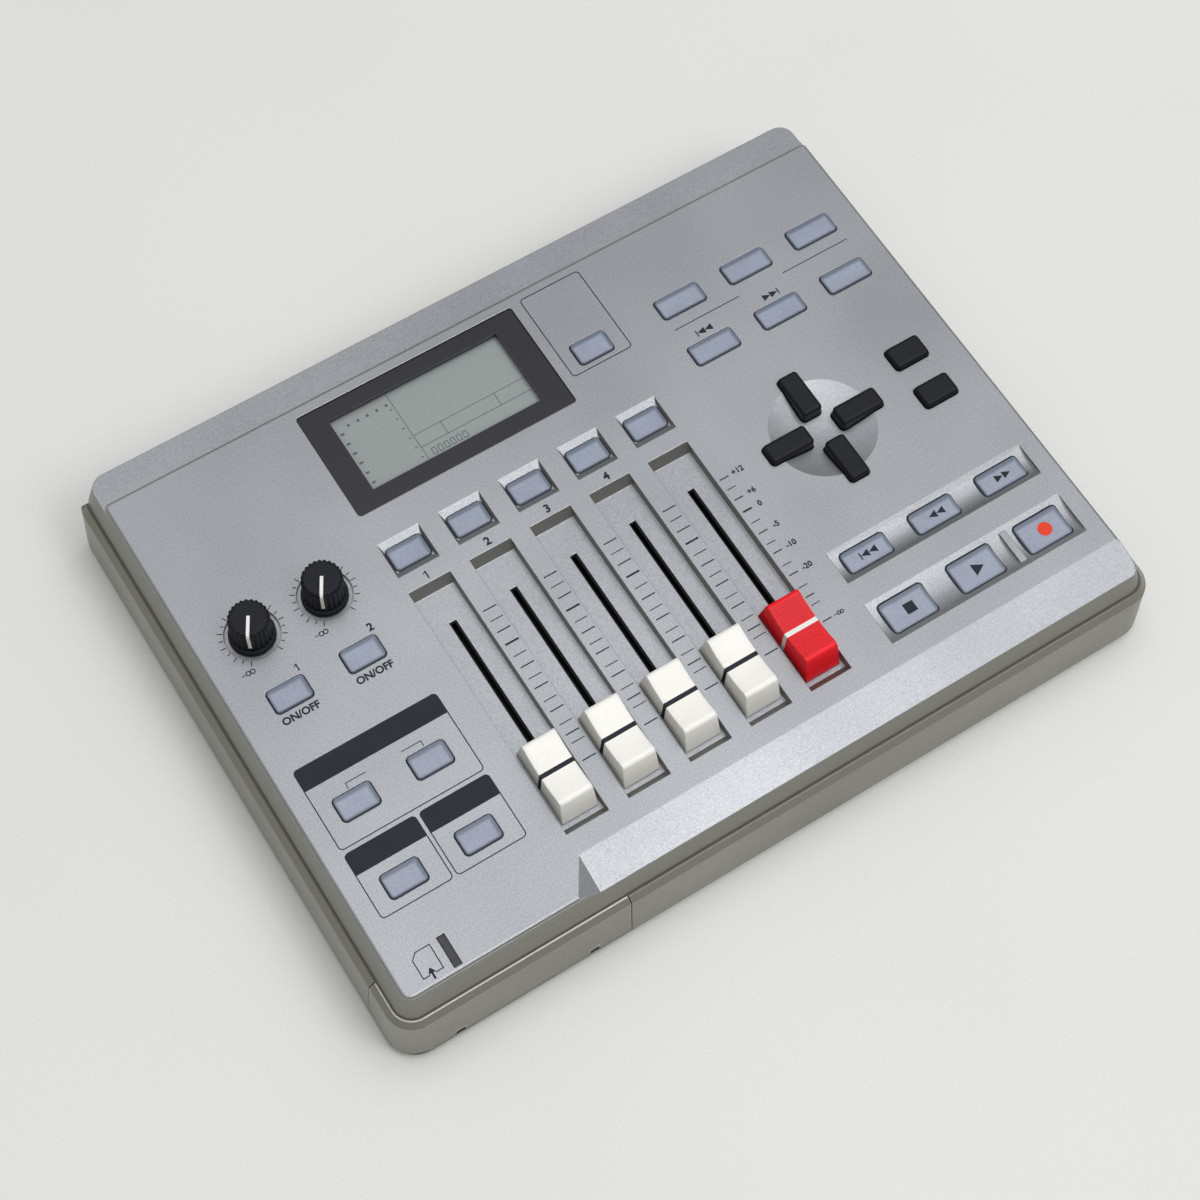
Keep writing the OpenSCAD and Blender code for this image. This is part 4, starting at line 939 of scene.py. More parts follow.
@dataclass
class KnobSet:
    """The two level knobs: a plain skirt, a fluted grip and a white pointer."""

    flutes: int = 24
    flute_steps: int = 6
    flute_depth: float = 0.45
    flute_power: float = 1.5
    # Radius and rise above the foot of each loop of the skirt, and of the grip's first loop.
    skirt: tuple[Point, ...] = ((6.6, 0.0), (6.8, 0.3), (6.8, 1.6), (6.65, 1.95))
    grip_foot: Point = (6.2, 2.0)
    # Radius, drop below the top and share of the flutes' depth of each later loop.
    crown: tuple[Triple, ...] = ((6.0, 0.9, 1.0), (5.85, 0.4, 1.0), (5.5, 0.08, 1.0), (5.2, 0.0, 0.6),
                                 (4.7, 0.0, 0.3))
    pointer_deg: float = -120.0
    pointer_w: float = 0.95
    pointer_film: float = 0.06
    # Start and end along the radius, drop of the underside and of the top, and rounding of each run.
    pointer_runs: tuple[tuple[float, ...], ...] = ((-0.5, 5.1, 0.4, 0.0, 0.0), (4.9, 5.7, 1.0, 0.1, 0.0),
                                                   (5.3, 6.06, 7.6, 0.6, 0.3))

    def loops(self, low: float, high: float) -> list[Triple]:
        """Works out a knob's loops from the foot up.

        Args:
            low: height of the foot.
            high: height of the top.

        Returns:
            Radius, height and flute depth of each loop.
        """
        foot = [(radius, low + rise, 0.0) for radius, rise in self.skirt]
        foot.append((self.grip_foot[0], low + self.grip_foot[1], self.flute_depth))
        return foot + [(radius, high - drop, share * self.flute_depth) for radius, drop, share in self.crown]

    def knob(self, number: int) -> None:
        """Builds one knob.

        Args:
            number: the knob's number, from the left.
        """
        node = f"level_knob_{number}"
        low, high = box_mm(node)
        loops = self.loops(low.z, high.z - self.pointer_film)
        bm = bmesh.new()
        bmesh.ops.create_circle(bm, cap_ends=True, segments=self.flutes * self.flute_steps,
                                radius=loops[0][0], matrix=Matrix.Translation((0, 0, low.z)))
        rim = list(bm.edges)
        for radius, height, depth in loops[1:]:
            made = bmesh.ops.extrude_edge_only(bm, edges=rim)["geom"]
            rim = [e for e in made if isinstance(e, bmesh.types.BMEdge)]
            for vert in {v for e in rim for v in e.verts}:
                angle = math.atan2(vert.co.y, vert.co.x)
                reach = radius - depth * (0.5 + 0.5 * math.cos(self.flutes * angle)) ** self.flute_power
                vert.co = (reach * math.cos(angle), reach * math.sin(angle), height)
        bmesh.ops.contextual_create(bm, geom=rim)
        x, y = middle_of(node)
        make_piece(f"{node}_grip", set_at(bm, x, y), [BLACK], f"level_{number}", [node])
        self.pointer(number, x, y, high.z)

    def pointer(self, number: int, x: float, y: float, top: float) -> None:
        """Builds a knob's pointer over its top edge and down its side.

        Args:
            number: the knob's number.
            x: middle of the knob.
            y: middle of the knob.
            top: its top.
        """
        half = self.pointer_w / 2
        runs = [block((start, -half, top - under), (end, half, top - over), rim=rounding, steps=2)
                for start, end, under, over, rounding in self.pointer_runs]
        place = Matrix.Translation((x, y, 0)) @ Matrix.Rotation(math.radians(self.pointer_deg), 4, "Z")
        make_piece(f"level_knob_{number}_pointer", moved(joined(runs), place), [WHITE_INK], f"level_{number}")

    def build(self) -> None:
        """Builds both knobs."""
        for number in (1, 2):
            self.knob(number)


@dataclass
class Display:
    """The display window with its cell and the card lamp."""

    lens_corner: float = 1.1
    lens_rim: float = 0.2
    lens_t: float = 1.5
    window_low: Point = (-53.0, 48.5)
    window_high: Point = (4.3, 75.0)
    window_inset: float = 4.0
    cell_t: float = 0.25
    cell_rim: float = 0.1
    film: float = 0.03
    # Segments of the cell: long rules, two columns of level marks, a row of heads and a row of digits.
    rules: tuple[Box, ...] = ((-33.7, 54.2, 4.0, 54.4), (-33.7, 58.8, 4.0, 59.0), (-33.8, 48.8, -33.6, 74.6),
                              (-24.6, 54.2, -24.4, 58.9), (-6.3, 54.2, -6.1, 58.9))
    level_count: int = 6
    level_y: float = 51.2
    level_pitch: float = 3.7
    level_columns: tuple[Triple, ...] = ((-51.8, -50.6, 0.7), (-35.3, -34.5, 0.35))
    head_count: int = 5
    head_x: float = -48.6
    head_pitch: float = 3.2
    head_w: float = 0.8
    head_y: Point = (71.4, 72.3)
    digit_count: int = 6
    digit_x: float = -31.6
    digit_pitch: float = 2.1
    digit_w: float = 1.5
    digit_y: Point = (50.2, 52.6)
    digit_corner: float = 0.3
    digit_line: float = 0.25
    lamp_w: float = 2.3
    lamp_len: float = 9.6
    lamp_row: float = -82.1
    lamp_corner: float = 0.3
    lamp_rim: float = 0.2

    def lens(self, low: Vector, high: Vector) -> None:
        """Builds the dark frame around the window.

        Args:
            low: the lens's lowest corner.
            high: its highest corner.
        """
        bm = block((low.x, low.y, high.z - self.lens_t), high, self.lens_corner, self.lens_rim)
        faces = sorted(bm.faces, key=lambda f: f.calc_center_median().z)
        windows = [faces[0], faces[-1]]
        for face in windows:
            bmesh.ops.inset_region(bm, faces=[face], thickness=self.window_inset, use_even_offset=True)
            middle = face.calc_center_median()
            for vert in face.verts:
                vert.co.x = self.window_low[0] if vert.co.x < middle.x else self.window_high[0]
                vert.co.y = self.window_low[1] if vert.co.y < middle.y else self.window_high[1]
        bmesh.ops.delete(bm, geom=windows, context="FACES_ONLY")
        bmesh.ops.remove_doubles(bm, verts=bm.verts, dist=TOUCH)
        bmesh.ops.bridge_loops(bm, edges=[e for e in bm.edges if e.is_boundary])
        make_piece("display_window_frame", bm, [ACRYLIC], "case", ["panel_lenses"])

    def segments(self, z0: float, z1: float) -> list[Mesh]:
        """Makes the segments drawn on the cell.

        Args:
            z0: underside.
            z1: top.

        Returns:
            Thin meshes.
        """
        marks = list(self.rules)
        for step in range(self.level_count):
            y = self.level_y + step * self.level_pitch
            marks += [(left, y, right, y + tall) for left, right, tall in self.level_columns]
        for step in range(self.head_count):
            x = self.head_x + step * self.head_pitch
            marks.append((x, self.head_y[0], x + self.head_w, self.head_y[1]))
        parts = [block((x0, y0, z0), (x1, y1, z1)) for x0, y0, x1, y1 in marks]
        for step in range(self.digit_count):
            x = self.digit_x + step * self.digit_pitch
            parts.append(outline_frame((x, self.digit_y[0]), (x + self.digit_w, self.digit_y[1]),
                                       self.digit_corner, self.digit_line, z0, z1))
        return parts

    def cell(self) -> None:
        """Builds the cell under the window and the segments on it."""
        low, high = box_mm("lcd_module")
        top = high.z + self.cell_t
        glass = block((low.x, low.y, high.z), (high.x, high.y, top), rim=self.cell_rim, steps=2)
        make_piece("display_cell", glass, [CELL], "case")
        marks = joined(self.segments(top, top + self.film))
        make_piece("display_segments", marks, [SEGMENT], "case")

    def lamp(self, low: float, top: float) -> None:
        """Builds the card lamp in line with the first input key.

        Args:
            low: underside of the solid.
            top: the panel's face.
        """
        x = middle_of("input_key_1")[0]
        half_w, half_len = self.lamp_w / 2, self.lamp_len / 2
        bar = block((x - half_w, self.lamp_row - half_len, low), (x + half_w, self.lamp_row + half_len, top),
                    self.lamp_corner, self.lamp_rim, steps=2)
        make_piece("card_lamp", bar, [ACRYLIC], "case", ["panel_lenses"])

    def build(self) -> None:
        """Builds the window, the cell and the lamp."""
        low, high = box_mm("panel_lenses")
        self.lens(*span([p for p in points_mm("panel_lenses") if p.y > 0]))
        self.cell()
        self.lamp(low.z, high.z)


@dataclass
class PanelPrint:
    """Lines, boxes, scales and plain numerals printed on the panel."""

    face: float = 36.0
    film: float = 0.03
    under_film: float = 0.02
    line: float = 0.32
    thin_share: float = 0.85
    # Ticks around the knobs.
    dial_r: float = 8.4
    ticks: int = 21
    tick_half: float = 0.14
    tick_lengths: Point = (1.6, 1.1)
    tick_start_deg: float = -120.0
    tick_step_deg: float = 15.0
    # Sign for minus infinity: radius of its rings, their places, its bar and its line.
    ring_r: float = 0.82
    ring_x: Point = (0.1, 1.48)
    minus_x: Point = (-1.9, -0.95)
    minus_half: float = 0.13
    dial_sign: Point = (-6.9, -10.2)
    # Scales between the faders: first gap, step to the next gap, and the gap beside the master fader.
    fader_pitch: float = 20.13
    gap_x: Point = (-46.2, -41.8)
    gaps: int = 4
    last_gap_x: Point = (34.0, 37.0)
    scale_rows: tuple[float, ...] = (-1.8, -5.6, -9.5, -14.0, -18.3, -22.2, -26.3, -29.7, -34.4, -37.9, -42.6,
                                     -46.1, -49.0, -54.9)
    thin_rows: tuple[float, ...] = (-5.6, -18.3, -26.3, -34.4, -42.6, -49.0)
    zero_row: float = -14.0
    row_half: float = 0.19
    thin_half: float = 0.14
    zero_half: float = 0.3
    thin_inset: float = 0.1
    numerals: tuple[tuple[str, float], ...] = (("+12", -1.6), ("+6", -9.3), ("0", -14.0), ("-5", -22.1),
                                               ("-10", -29.6), ("-20", -37.8))
    numeral_size: float = 2.5
    numeral_x: float = 39.6
    numeral_step: float = 0.2
    scale_sign_x: float = 39.4
    scale_sign_size: float = 0.78
    # Boxes with a filled header: left, front, right, rear, and the header's front edge.
    headed: tuple[tuple[float, ...], ...] = ((-115.8, -43.0, -70.2, -16.0, -23.0),
                                             (-115.8, -65.5, -93.4, -44.2, -51.2),
                                             (-92.4, -65.5, -70.2, -44.2, -51.2))
    headed_corner: float = 1.4
    key_box: Box = (16.0, 49.7, 36.8, 81.0)
    key_box_corner: float = 1.3
    # Brackets over two keys: left, right and the end that turns down.
    brackets: tuple[Triple, ...] = ((-104.9, -98.6, -104.9), (-87.3, -81.1, -81.1))
    bracket_y: Point = (-28.3, -26.6)
    rules: tuple[Point, ...] = ((50.5, 73.5), (89.5, 113.0))
    rule_y: float = 47.6
    # Numerals: count, letter size, place before the first, step and row.
    numbered: tuple[tuple[int, float, float, float, float], ...] = ((4, 3.6, -73.93, 20.13, 16.6),
                                                                    (2, 3.4, -122.5, 23.4, 10.7))
    # The numeral one, in shares of the letter's size, and its flag, in shares of the half height.
    one_half: float = 0.36
    one_stem: float = 0.06
    one_reach: float = 0.26
    flag_tip: Point = (0.5, 0.26)
    flag_root: float = 0.62
    flag_drop: float = 0.05
    switch_x: Point = (-105.0, -81.5)
    switch_y: float = -2.1
    switch_size: float = 3.2
    # Marker signs: place and way of each, then the arrows and the bar.
    markers: tuple[tuple[float, int], ...] = ((58.3, -1), (81.8, 1))
    marker_y: Triple = (42.2, 43.3, 44.4)
    marker_starts: Point = (-2.5, 0.0)
    marker_w: float = 2.6
    marker_bar: float = 2.8
    marker_bar_half: float = 0.18
    # Card sign: its sides, its cut corner, and the arrow into it.
    card_sides: tuple[Box, ...] = ((-114.8, -85.5, -114.5, -79.5), (-114.8, -85.5, -112.6, -85.2),
                                   (-111.0, -85.5, -108.4, -85.2), (-108.7, -85.5, -108.4, -77.7),
                                   (-113.0, -78.0, -108.4, -77.7))
    card_corner: tuple[Point, ...] = ((-114.8, -79.5), (-114.45, -79.5), (-112.8, -77.95), (-113.0, -77.7))
    card_stem: Box = (-112.1, -86.9, -111.5, -84.9)
    card_arrow: tuple[Point, ...] = ((-112.9, -85.0), (-110.7, -85.0), (-111.8, -83.3))

    def bar(self, x0: float, y0: float, x1: float, y1: float) -> Mesh:
        """Returns a printed rectangle."""
        return block((x0, y0, self.face), (x1, y1, self.face + self.film))

    def patch(self, outline: Sequence[Point]) -> Mesh:
        """Returns a printed shape of a few points."""
        return plate(outline, self.face, self.face + self.film)

    def frame_of(self, x0: float, y0: float, x1: float, y1: float, corner: float) -> Mesh:
        """Returns a printed frame with round corners."""
        return outline_frame((x0, y0), (x1, y1), corner, self.line, self.face, self.face + self.under_film)

    def words(self, text: str, size: float, x: float, y: float) -> Mesh:
        """Returns printed numerals or signs."""
        return lettering(text, size, (x, y), self.face, self.face + self.film)

    def numeral(self, value: int, size: float, x: float, y: float) -> list[Mesh]:
        """Makes a printed numeral, with a flag on the one.

        Args:
            value: the number.
            size: letter size.
            x: its middle.
            y: its middle.

        Returns:
            Thin meshes.
        """
        if value != 1:
            return [self.words(str(value), size, x, y)]
        half, stem, reach = self.one_half * size, self.one_stem * size, self.one_reach * size
        tip = [(x - reach, y + share * half) for share in self.flag_tip]
        flag = [(x - stem, y + half - self.flag_drop), *tip, (x - stem, y + self.flag_root * half)]
        return [self.bar(x - stem, y - half, x + stem, y + half), self.patch(flag)]

    def headed_box(self, x0: float, y0: float, x1: float, y1: float, header: float) -> list[Mesh]:
        """Makes a printed box with a filled header.

        Args:
            x0: left.
            y0: front.
            x1: right.
            y1: rear.
            header: front edge of the filled header.

        Returns:
            Thin meshes.
        """
        fill = flat_face((x0, header), (x1, y1), self.face, self.headed_corner, rear_only=True)
        border = self.frame_of(x0, y0, x1, y1, self.headed_corner)
        return [border, extruded(fill, fill.faces, (0, 0, self.film))]

    def dials(self) -> list[Mesh]:
        """Makes the ticks around the knobs.

        Returns:
            Thin meshes.
        """
        marks = []
        for number in (1, 2):
            x, y = middle_of(f"level_knob_{number}")
            for step in range(self.ticks):
                end = self.dial_r + self.tick_lengths[step % 2]
                tick = self.bar(self.dial_r, -self.tick_half, end, self.tick_half)
                angle = math.radians(self.tick_start_deg - self.tick_step_deg * step)
                marks.append(moved(tick, Matrix.Translation((x, y, 0)) @ Matrix.Rotation(angle, 4, "Z")))
            marks += self.no_level(x + self.dial_sign[0], y + self.dial_sign[1])
        return marks

    def no_level(self, x: float, y: float, size: float = 1.0) -> list[Mesh]:
        """Makes the sign for minus infinity, a bar and two rings.

        Args:
            x: its place.
            y: its place.
            size: its scale.

        Returns:
            Thin meshes.
        """
        z0, z1, outer = self.face, self.face + self.film, self.ring_r * size
        inner = outer - self.line
        ring = [(inner, z0), (outer, z0), (outer, z1), (inner, z1)]
        rings = [set_at(turned(ring, SLIM_STEPS, ring=True), x + side * size, y) for side in self.ring_x]
        left, right = self.minus_x
        return [self.bar(x + left * size, y - self.minus_half, x + right * size, y + self.minus_half)] + rings

    def fader_scales(self) -> list[Mesh]:
        """Makes the ticks between the faders and the numerals beside the last one.

        Returns:
            Thin meshes.
        """
        gaps = [[x + self.fader_pitch * gap for x in self.gap_x] for gap in range(self.gaps)]
        marks = []
        for gap, (x0, x1) in enumerate((*gaps, self.last_gap_x)):
            for y in self.scale_rows:
                thin = y in self.thin_rows
                half = self.zero_half if y == self.zero_row else self.thin_half if thin else self.row_half
                inset = self.thin_inset if thin and gap < self.gaps else 0.0
                marks.append(self.bar(x0 + inset, y - half, x1 - inset, y + half))
        marks += [self.words(text, self.numeral_size, self.numeral_x + self.numeral_step * len(text), y)
                  for text, y in self.numerals]
        return marks + self.no_level(self.scale_sign_x, self.scale_rows[-1], self.scale_sign_size)

    def boxes(self) -> list[Mesh]:
        """Makes the boxes, brackets and rules around groups of keys.

        Returns:
            Thin meshes.
        """
        marks = [mark for sizes in self.headed for mark in self.headed_box(*sizes)]
        thin, (foot, head) = self.line * self.thin_share, self.bracket_y
        for left, right, drop in self.brackets:
            marks.append(self.bar(left, head, right, head + thin))
            marks.append(self.bar(drop - thin / 2, foot, drop + thin / 2, head + thin))
        marks.append(self.frame_of(*self.key_box, self.key_box_corner))
        return marks + [self.bar(left, self.rule_y, right, self.rule_y + thin) for left, right in self.rules]

    def small_signs(self) -> list[Mesh]:
        """Makes the numerals, the switch words, the marker arrows and the card sign.

        Returns:
            Thin meshes.
        """
        marks = [self.words("ON/OFF", self.switch_size, x, self.switch_y) for x in self.switch_x]
        for count, size, start, step, y in self.numbered:
            for value in range(1, count + 1):
                marks += self.numeral(value, size, start + step * value, y)
        front, middle, rear = self.marker_y
        for x, way in self.markers:
            bar = x + way * self.marker_bar
            marks.append(self.bar(bar - self.marker_bar_half, front, bar + self.marker_bar_half, rear))
            for start in self.marker_starts:
                blunt, tip = x + way * start, x + way * (start + self.marker_w)
                marks.append(self.patch([(blunt, front), (tip, middle), (blunt, rear)]))
        marks += [self.bar(*side) for side in self.card_sides]
        return marks + [self.patch(self.card_corner), self.bar(*self.card_stem), self.patch(self.card_arrow)]

    def build(self) -> None:
        """Prints the panel."""
        marks = self.dials() + self.fader_scales() + self.boxes() + self.small_signs()
        make_piece("panel_print", joined(marks), [INK], "case")


@dataclass
class Case:
    """The case halves with their door, the metalwork inside, the feet and the rear sockets."""

    panel_low: Point = (-121.9, -88.4)
    panel_corner: float = 3.0
    # Sockets: radius and height out of the rear face of each turned profile, and the switch's housing.
    rear_face: float = 92.8
    rear_t: float = 2.0
    socket_z: float = 15.0
    jack_x: tuple[float, ...] = (-102.0, -82.0, -54.0, -20.0, 0.0, 20.0)
    sleeve: tuple[Point, ...] = ((3.25, -18.4), (3.25, 1.0), (3.8, 1.6), (4.6, 1.6), (4.6, -2.0), (5.9, -2.0),
                                 (5.9, -26.0), (0.0, -26.0), (0.0, -18.4))
    nut_h: float = 1.6
    nut_r: float = 6.2
    nut_bore: float = 5.32
    nut_chamfer: float = 0.3
    nut_sides: int = 6
    thread_r: Point = (4.6, 5.3)
    thread_drop: float = 0.2
    inlet_x: float = 43.0
    inlet_well: tuple[Point, ...] = ((2.75, -9.0), (2.75, -0.5), (3.2, 0.0), (4.6, 0.0), (4.6, -2.0),
                                     (5.9, -2.0), (5.9, -13.0), (0.0, -13.0), (0.0, -9.0))
    inlet_pin: tuple[Point, ...] = ((0.0, -9.0), (1.0, -9.0), (1.0, -0.6), (0.6, 0.0), (0.0, 0.0))
    switch_x: float = 73.0
    switch_half: Point = (5.8, 3.8)
    switch_corner: float = 0.3
    switch_wall: float = 1.0
    switch_z: Triple = (-4.6, -4.2, -0.02)
    foot: tuple[Point, ...] = ((0.0, 0.5), (3.0, 0.5), (3.6, 0.0), (5.4, 0.0), (5.85, 0.2), (6.0, 0.6),
                               (6.0, 2.0), (0.0, 2.0))
    foot_steps: int = 48
    # Finger ribs of the battery cover, with their reach below and into its face.
    grip_count: int = 5
    grip_half: float = 9.0
    grip_start: float = 8.0
    grip_w: float = 1.0
    grip_pitch: float = 2.2
    grip_z: Point = (-0.35, 0.2)
    grip_corner: float = 0.3
    # Strip in the seam.
    seal_out: float = 2.95
    seal_w: float = 0.2
    seal_z: Point = (22.1, 25.45)
    seal_rear_gap: float = 0.2
    # Coves under the panel's rim, cut where the front lip begins.
    cove_out: float = 0.305
    cove_in: float = -0.02
    cove_z: Point = (33.28, 35.1)
    cove_end: float = 82.6
    lip_start: Triple = (-61.5, -77.5, 36.0)
    facet_normal: Triple = (31.6, -20.3, 76.3)
    # Length past a rear cut over which a ring still runs, so that its round corners fall away.
    cut_past: float = 20.0
    # Webs over the door's hinge lugs: outline around the hinge's axis, after the arc.
    lug_x: Point = (-109.9, -66.5)
    hinge: Point = (-93.51, 6.7)
    web_r: float = 1.2
    web_w: float = 2.98
    web_arc_deg: float = 86.0
    web_face: tuple[Point, ...] = ((-1.284, 0.084), (-1.177, 1.59), (0.0, 1.59))

    def dress_solids(self) -> None:
        """Gives each solid that shows as it is its finish."""
        levers = [f"fader_lever_{number}" for number in range(1, FaderSet.count + 1)]
        looks = {SILVER: ["upper_case"], GREY: ["lower_case", "rear_panel", "battery_cover"],
                 DOOR: ["card_door"], BLACK: ["key_switches", "power_slider"], BLACK_STEEL: ["fader_tracks"],
                 BOARD: ["main_board"], ZINC: ["pot_bodies", "card_socket", "case_screws", "pot_shaft_1",
                                               "pot_shaft_2", "lcd_module", *levers]}
        for finish, nodes in looks.items():
            for node in nodes:
                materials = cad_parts[node].data.materials
                materials.clear()
                materials.append(finish.material())
                log.info("%s is dressed in %s", node, finish.name)

    def rear_place(self, x: float, inwards: float = 0.0) -> Matrix:
        """Returns the place of a socket, with its axis out of the rear face."""
        spot = Matrix.Translation((x, self.rear_face - inwards, self.socket_z))
        return spot @ Matrix.Rotation(-math.pi / 2, 4, "X")

    def sockets(self) -> None:
        """Builds the jacks, the supply inlet and the switch housing, with plated nuts."""
        wells, nuts = [], []
        bevel, thread_top = self.nut_r - self.nut_chamfer, self.nut_h - self.thread_drop
        nut = [(self.nut_bore, 0.0), (self.nut_r, 0.0), (self.nut_r, self.nut_h - self.nut_chamfer),
               (bevel, self.nut_h), (self.nut_bore, self.nut_h)]
        inner, outer = self.thread_r
        thread = [(inner, 0.0), (outer, 0.0), (outer, thread_top), (inner, thread_top)]
        for x in self.jack_x:
            place = self.rear_place(x)
            wells.append(moved(turned(self.sleeve, WIDE_STEPS), place))
            nuts.append(moved(turned(nut, self.nut_sides, ring=True), place))
            nuts.append(moved(turned(thread, WIDE_STEPS, ring=True), place))
        for profile, steps in ((self.inlet_well, WIDE_STEPS), (self.inlet_pin, SLIM_STEPS)):
            wells.append(moved(turned(profile, steps), self.rear_place(self.inlet_x)))
        place = self.rear_place(self.switch_x, self.rear_t)
        (half_w, half_h), (back, floor, front) = self.switch_half, self.switch_z
        walls = outline_frame((-half_w, -half_h), (half_w, half_h), self.switch_corner, self.switch_wall,
                              back, front)
        plug = block((-half_w, -half_h, back), (half_w, half_h, floor), self.switch_corner)
        wells += [moved(walls, place), moved(plug, place)]
        make_piece("socket_wells", joined(wells), [BLACK], "case", ["rear_sockets"])
        make_piece("socket_nuts", joined(nuts), [NICKEL], "case")

    def feet(self) -> None:
        """Builds the rubber feet with rounded rims and a shallow hollow below."""
        points = points_mm("feet")
        feet = []
        for side in (-1, 1):
            for end in (-1, 1):
                low, high = span([p for p in points if p.x * side > 0 and p.y * end > 0])
                x, y = (low.x + high.x) / 2, (low.y + high.y) / 2
                feet.append(set_at(turned(self.foot, self.foot_steps), x, y))
        make_piece("rubber_feet", joined(feet), [RUBBER], "case", ["feet"])

    def cover_grips(self) -> None:
        """Builds the finger ribs on the battery cover."""
        low = box_mm("battery_cover")[0]
        middle, (under, inside) = middle_of("battery_cover")[0], self.grip_z
        ribs = []
        for step in range(self.grip_count):
            y = low.y + self.grip_start + self.grip_pitch * step
            ribs.append(block((middle - self.grip_half, y, low.z + under),
                              (middle + self.grip_half, y + self.grip_w, low.z + inside),
                              self.grip_corner, steps=2))
        make_piece("battery_cover_ribs", joined(ribs), [GREY], "battery_lid")

    def seam_seal(self) -> None:
        """Builds the thin strip that keeps dust out of the seam between the case halves."""
        out, end = self.seal_out, self.rear_face - self.seal_rear_gap
        low = (self.panel_low[0] - out, self.panel_low[1] - out)
        strip = outline_frame(low, (-low[0], self.rear_face + self.cut_past), self.panel_corner + out,
                              self.seal_w, *self.seal_z, steps=16)
        make_piece("seam_seal", cut_away(strip, (0, end, 0), (0, 1, 0)), [SEAL], "case")

    def cove_ring(self) -> Mesh:
        """Makes a three-sided strip around the panel that fills the step under its rim, open at the rear.

        Returns:
            A closed mesh.
        """
        low, high = self.cove_z
        loops = []
        for out, z in ((self.cove_out, low), (self.cove_in, high), (self.cove_in, low)):
            corner = (self.panel_low[0] - out, self.panel_low[1] - out)
            loops.append(flat_face(corner, (-corner[0], self.cove_end + self.cut_past), z,
                                   self.panel_corner + out, steps=10))
        bm = joined(loops)
        edges = list(bm.edges)
        bmesh.ops.delete(bm, geom=list(bm.faces), context="FACES_ONLY")
        count = len(edges) // 3
        sides = [edges[i * count:(i + 1) * count] for i in range(3)]
        for one, other in ((0, 1), (1, 2), (2, 0)):
            bmesh.ops.bridge_loops(bm, edges=sides[one] + sides[other])
        return cut_away(bm, (0, self.cove_end, 0), (0, 1, 0))

    def rim_coves(self) -> None:
        """Builds the coves from the panel's rim to the shoulder, on both sides of the front lip."""
        left = cut_away(self.cove_ring(), self.lip_start, self.facet_normal)
        right = cut_away(self.cove_ring(), (0, 0, 0), (-1, 0, 0))
        right = cut_away(right, self.lip_start, (0, -1, 0))
        make_piece("rim_coves", joined([left, right]), [SILVER], "case")

    def hinge_webs(self) -> None:
        """Builds the webs that close the card door's notches above its hinge lugs."""
        webs = []
        for middle in self.lug_x:
            x = middle - self.web_w / 2
            bm = bmesh.new()
            start = bm.verts.new((x, 0.0, self.web_r))
            bmesh.ops.spin(bm, geom=[start], cent=(0, 0, 0), axis=(1, 0, 0),
                           angle=math.radians(self.web_arc_deg), steps=8)
            arc = sorted(bm.verts, key=lambda v: -v.co.z)
            bm.faces.new(arc + [bm.verts.new((x, y, z)) for y, z in self.web_face])
            webs.append(set_at(extruded(bm, bm.faces, (self.web_w, 0, 0)), 0, *self.hinge))
        make_piece("door_hinge_webs", joined(webs), [DOOR], "door")

    def build(self) -> None:
        """Dresses the case and builds its fittings."""
        self.dress_solids()
        self.seam_seal()
        self.rim_coves()
        self.hinge_webs()
        self.sockets()
        self.feet()
        self.cover_grips()


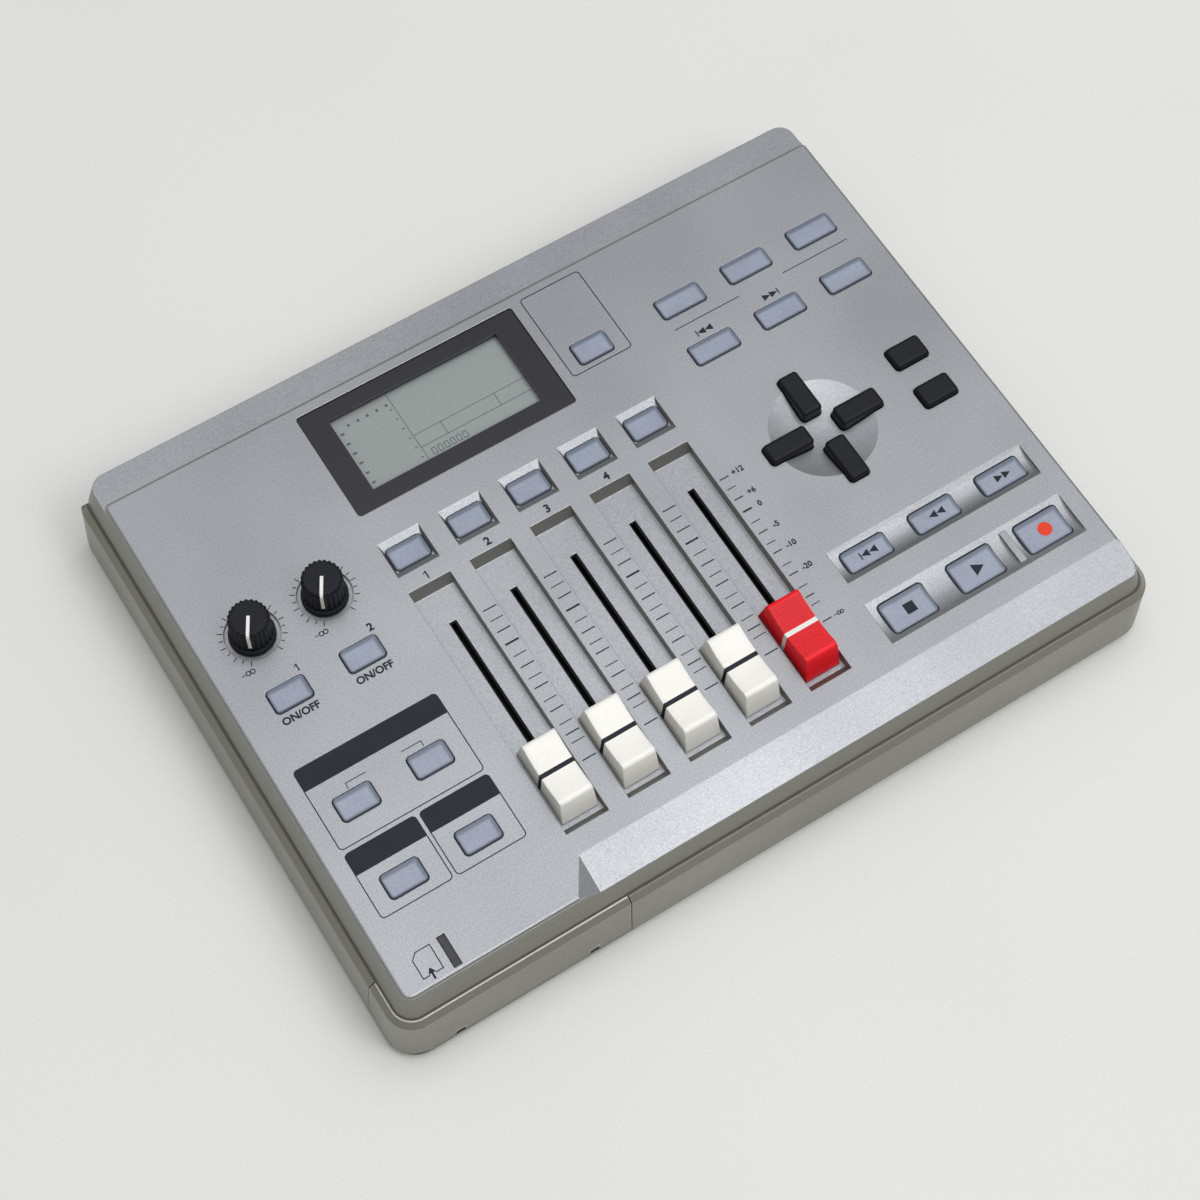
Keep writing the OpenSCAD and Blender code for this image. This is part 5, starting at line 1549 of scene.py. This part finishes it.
@dataclass
class Studio:
    """A pale floor, soft light from above and the front, and the camera. Sizes are in metres."""

    floor_size: float = 6.0
    # Camera: its place, the directions of its right side and its top, its lens and its sensor.
    eye: Triple = (-0.1845, -0.260, 0.6645)
    right: Triple = (0.8465, -0.532, 0.0203)
    up: Triple = (0.4741, 0.7705, 0.4261)
    lens_mm: float = 73.5
    sensor_mm: float = 36.0
    # Even light of the room: tone at the horizon and overhead, where it fades, and its level.
    horizon: str = "#615E55"
    overhead: str = "#E0E2E5"
    fade: Point = (0.2, 1.0)
    level: float = 1.05
    # Square lamps: name, place, side and watts.
    lamps: tuple[tuple[str, Triple, float, float], ...] = (("overhead_lamp", (0.25, -0.1, 1.8), 1.6, 13.5),
                                                           ("front_lamp", (0.45, -0.9, 1.5), 0.7, 6.4))

    def lay_floor(self) -> None:
        """Lays the floor."""
        bm = bmesh.new()
        bmesh.ops.create_grid(bm, x_segments=8, y_segments=8, size=self.floor_size / 2)
        mesh = bpy.data.meshes.new("floor")
        bm.to_mesh(mesh)
        bm.free()
        mesh.materials.append(FLOOR.material())
        floor = bpy.data.objects.new("floor", mesh)
        bpy.context.scene.collection.objects.link(floor)

    def hang_lamp(self, name: str, place: Triple, side: float, watts: float) -> None:
        """Hangs a soft square lamp that points at the recorder.

        Args:
            name: the lamp's name.
            place: where it hangs.
            side: its side.
            watts: its power.
        """
        light = bpy.data.lights.new(name, "AREA")
        light.shape, light.size, light.energy = "SQUARE", side, watts
        lamp = bpy.data.objects.new(name, light)
        lamp.location = place
        lamp.rotation_euler = (-Vector(place)).to_track_quat("-Z", "Y").to_euler()
        bpy.context.scene.collection.objects.link(lamp)

    def fill_air(self) -> None:
        """Fills the room with even light that fades towards the horizon."""
        world = bpy.data.worlds.new("room")
        world.use_nodes = True
        tree = world.node_tree
        tree.nodes.clear()
        way = add_node(tree, "ShaderNodeTexCoord").outputs["Generated"]
        height = add_node(tree, "ShaderNodeSeparateXYZ", {"Vector": way}).outputs["Z"]
        share = add_node(tree, "ShaderNodeMapRange",
                         {"Value": height, "From Min": self.fade[0], "From Max": self.fade[1]},
                         interpolation_type="SMOOTHSTEP").outputs[0]
        tone = add_node(tree, "ShaderNodeMix", {0: share, 6: linear(self.horizon), 7: linear(self.overhead)},
                        data_type="RGBA").outputs[2]
        glow = add_node(tree, "ShaderNodeBackground", {"Color": tone, "Strength": self.level})
        add_node(tree, "ShaderNodeOutputWorld", {"Surface": glow.outputs[0]})
        bpy.context.scene.world = world

    def set_camera(self) -> None:
        """Sets the camera at the photograph's angle."""
        view = bpy.data.cameras.new("camera")
        view.lens, view.sensor_width = self.lens_mm, self.sensor_mm
        camera = bpy.data.objects.new("camera", view)
        right, up = Vector(self.right), Vector(self.up)
        axes = Matrix((right, up, right.cross(up))).transposed().to_quaternion().normalized()
        camera.matrix_world = Matrix.Translation(self.eye) @ axes.to_matrix().to_4x4()
        bpy.context.scene.collection.objects.link(camera)
        bpy.context.scene.camera = camera

    def build(self) -> None:
        """Sets the stage."""
        self.set_camera()
        self.lay_floor()
        self.fill_air()
        for lamp in self.lamps:
            self.hang_lamp(*lamp)
        bpy.context.scene.view_settings.view_transform = "Standard"


def main() -> None:
    """Builds the recorder's pieces and the stage."""
    logging.basicConfig(level=logging.INFO, format="%(message)s")
    for assembly in (Studio(), Case(), KeySet(), FaderSet(), KnobSet(), Display(), PanelPrint()):
        assembly.build()


if __name__ == "__main__":
    main()
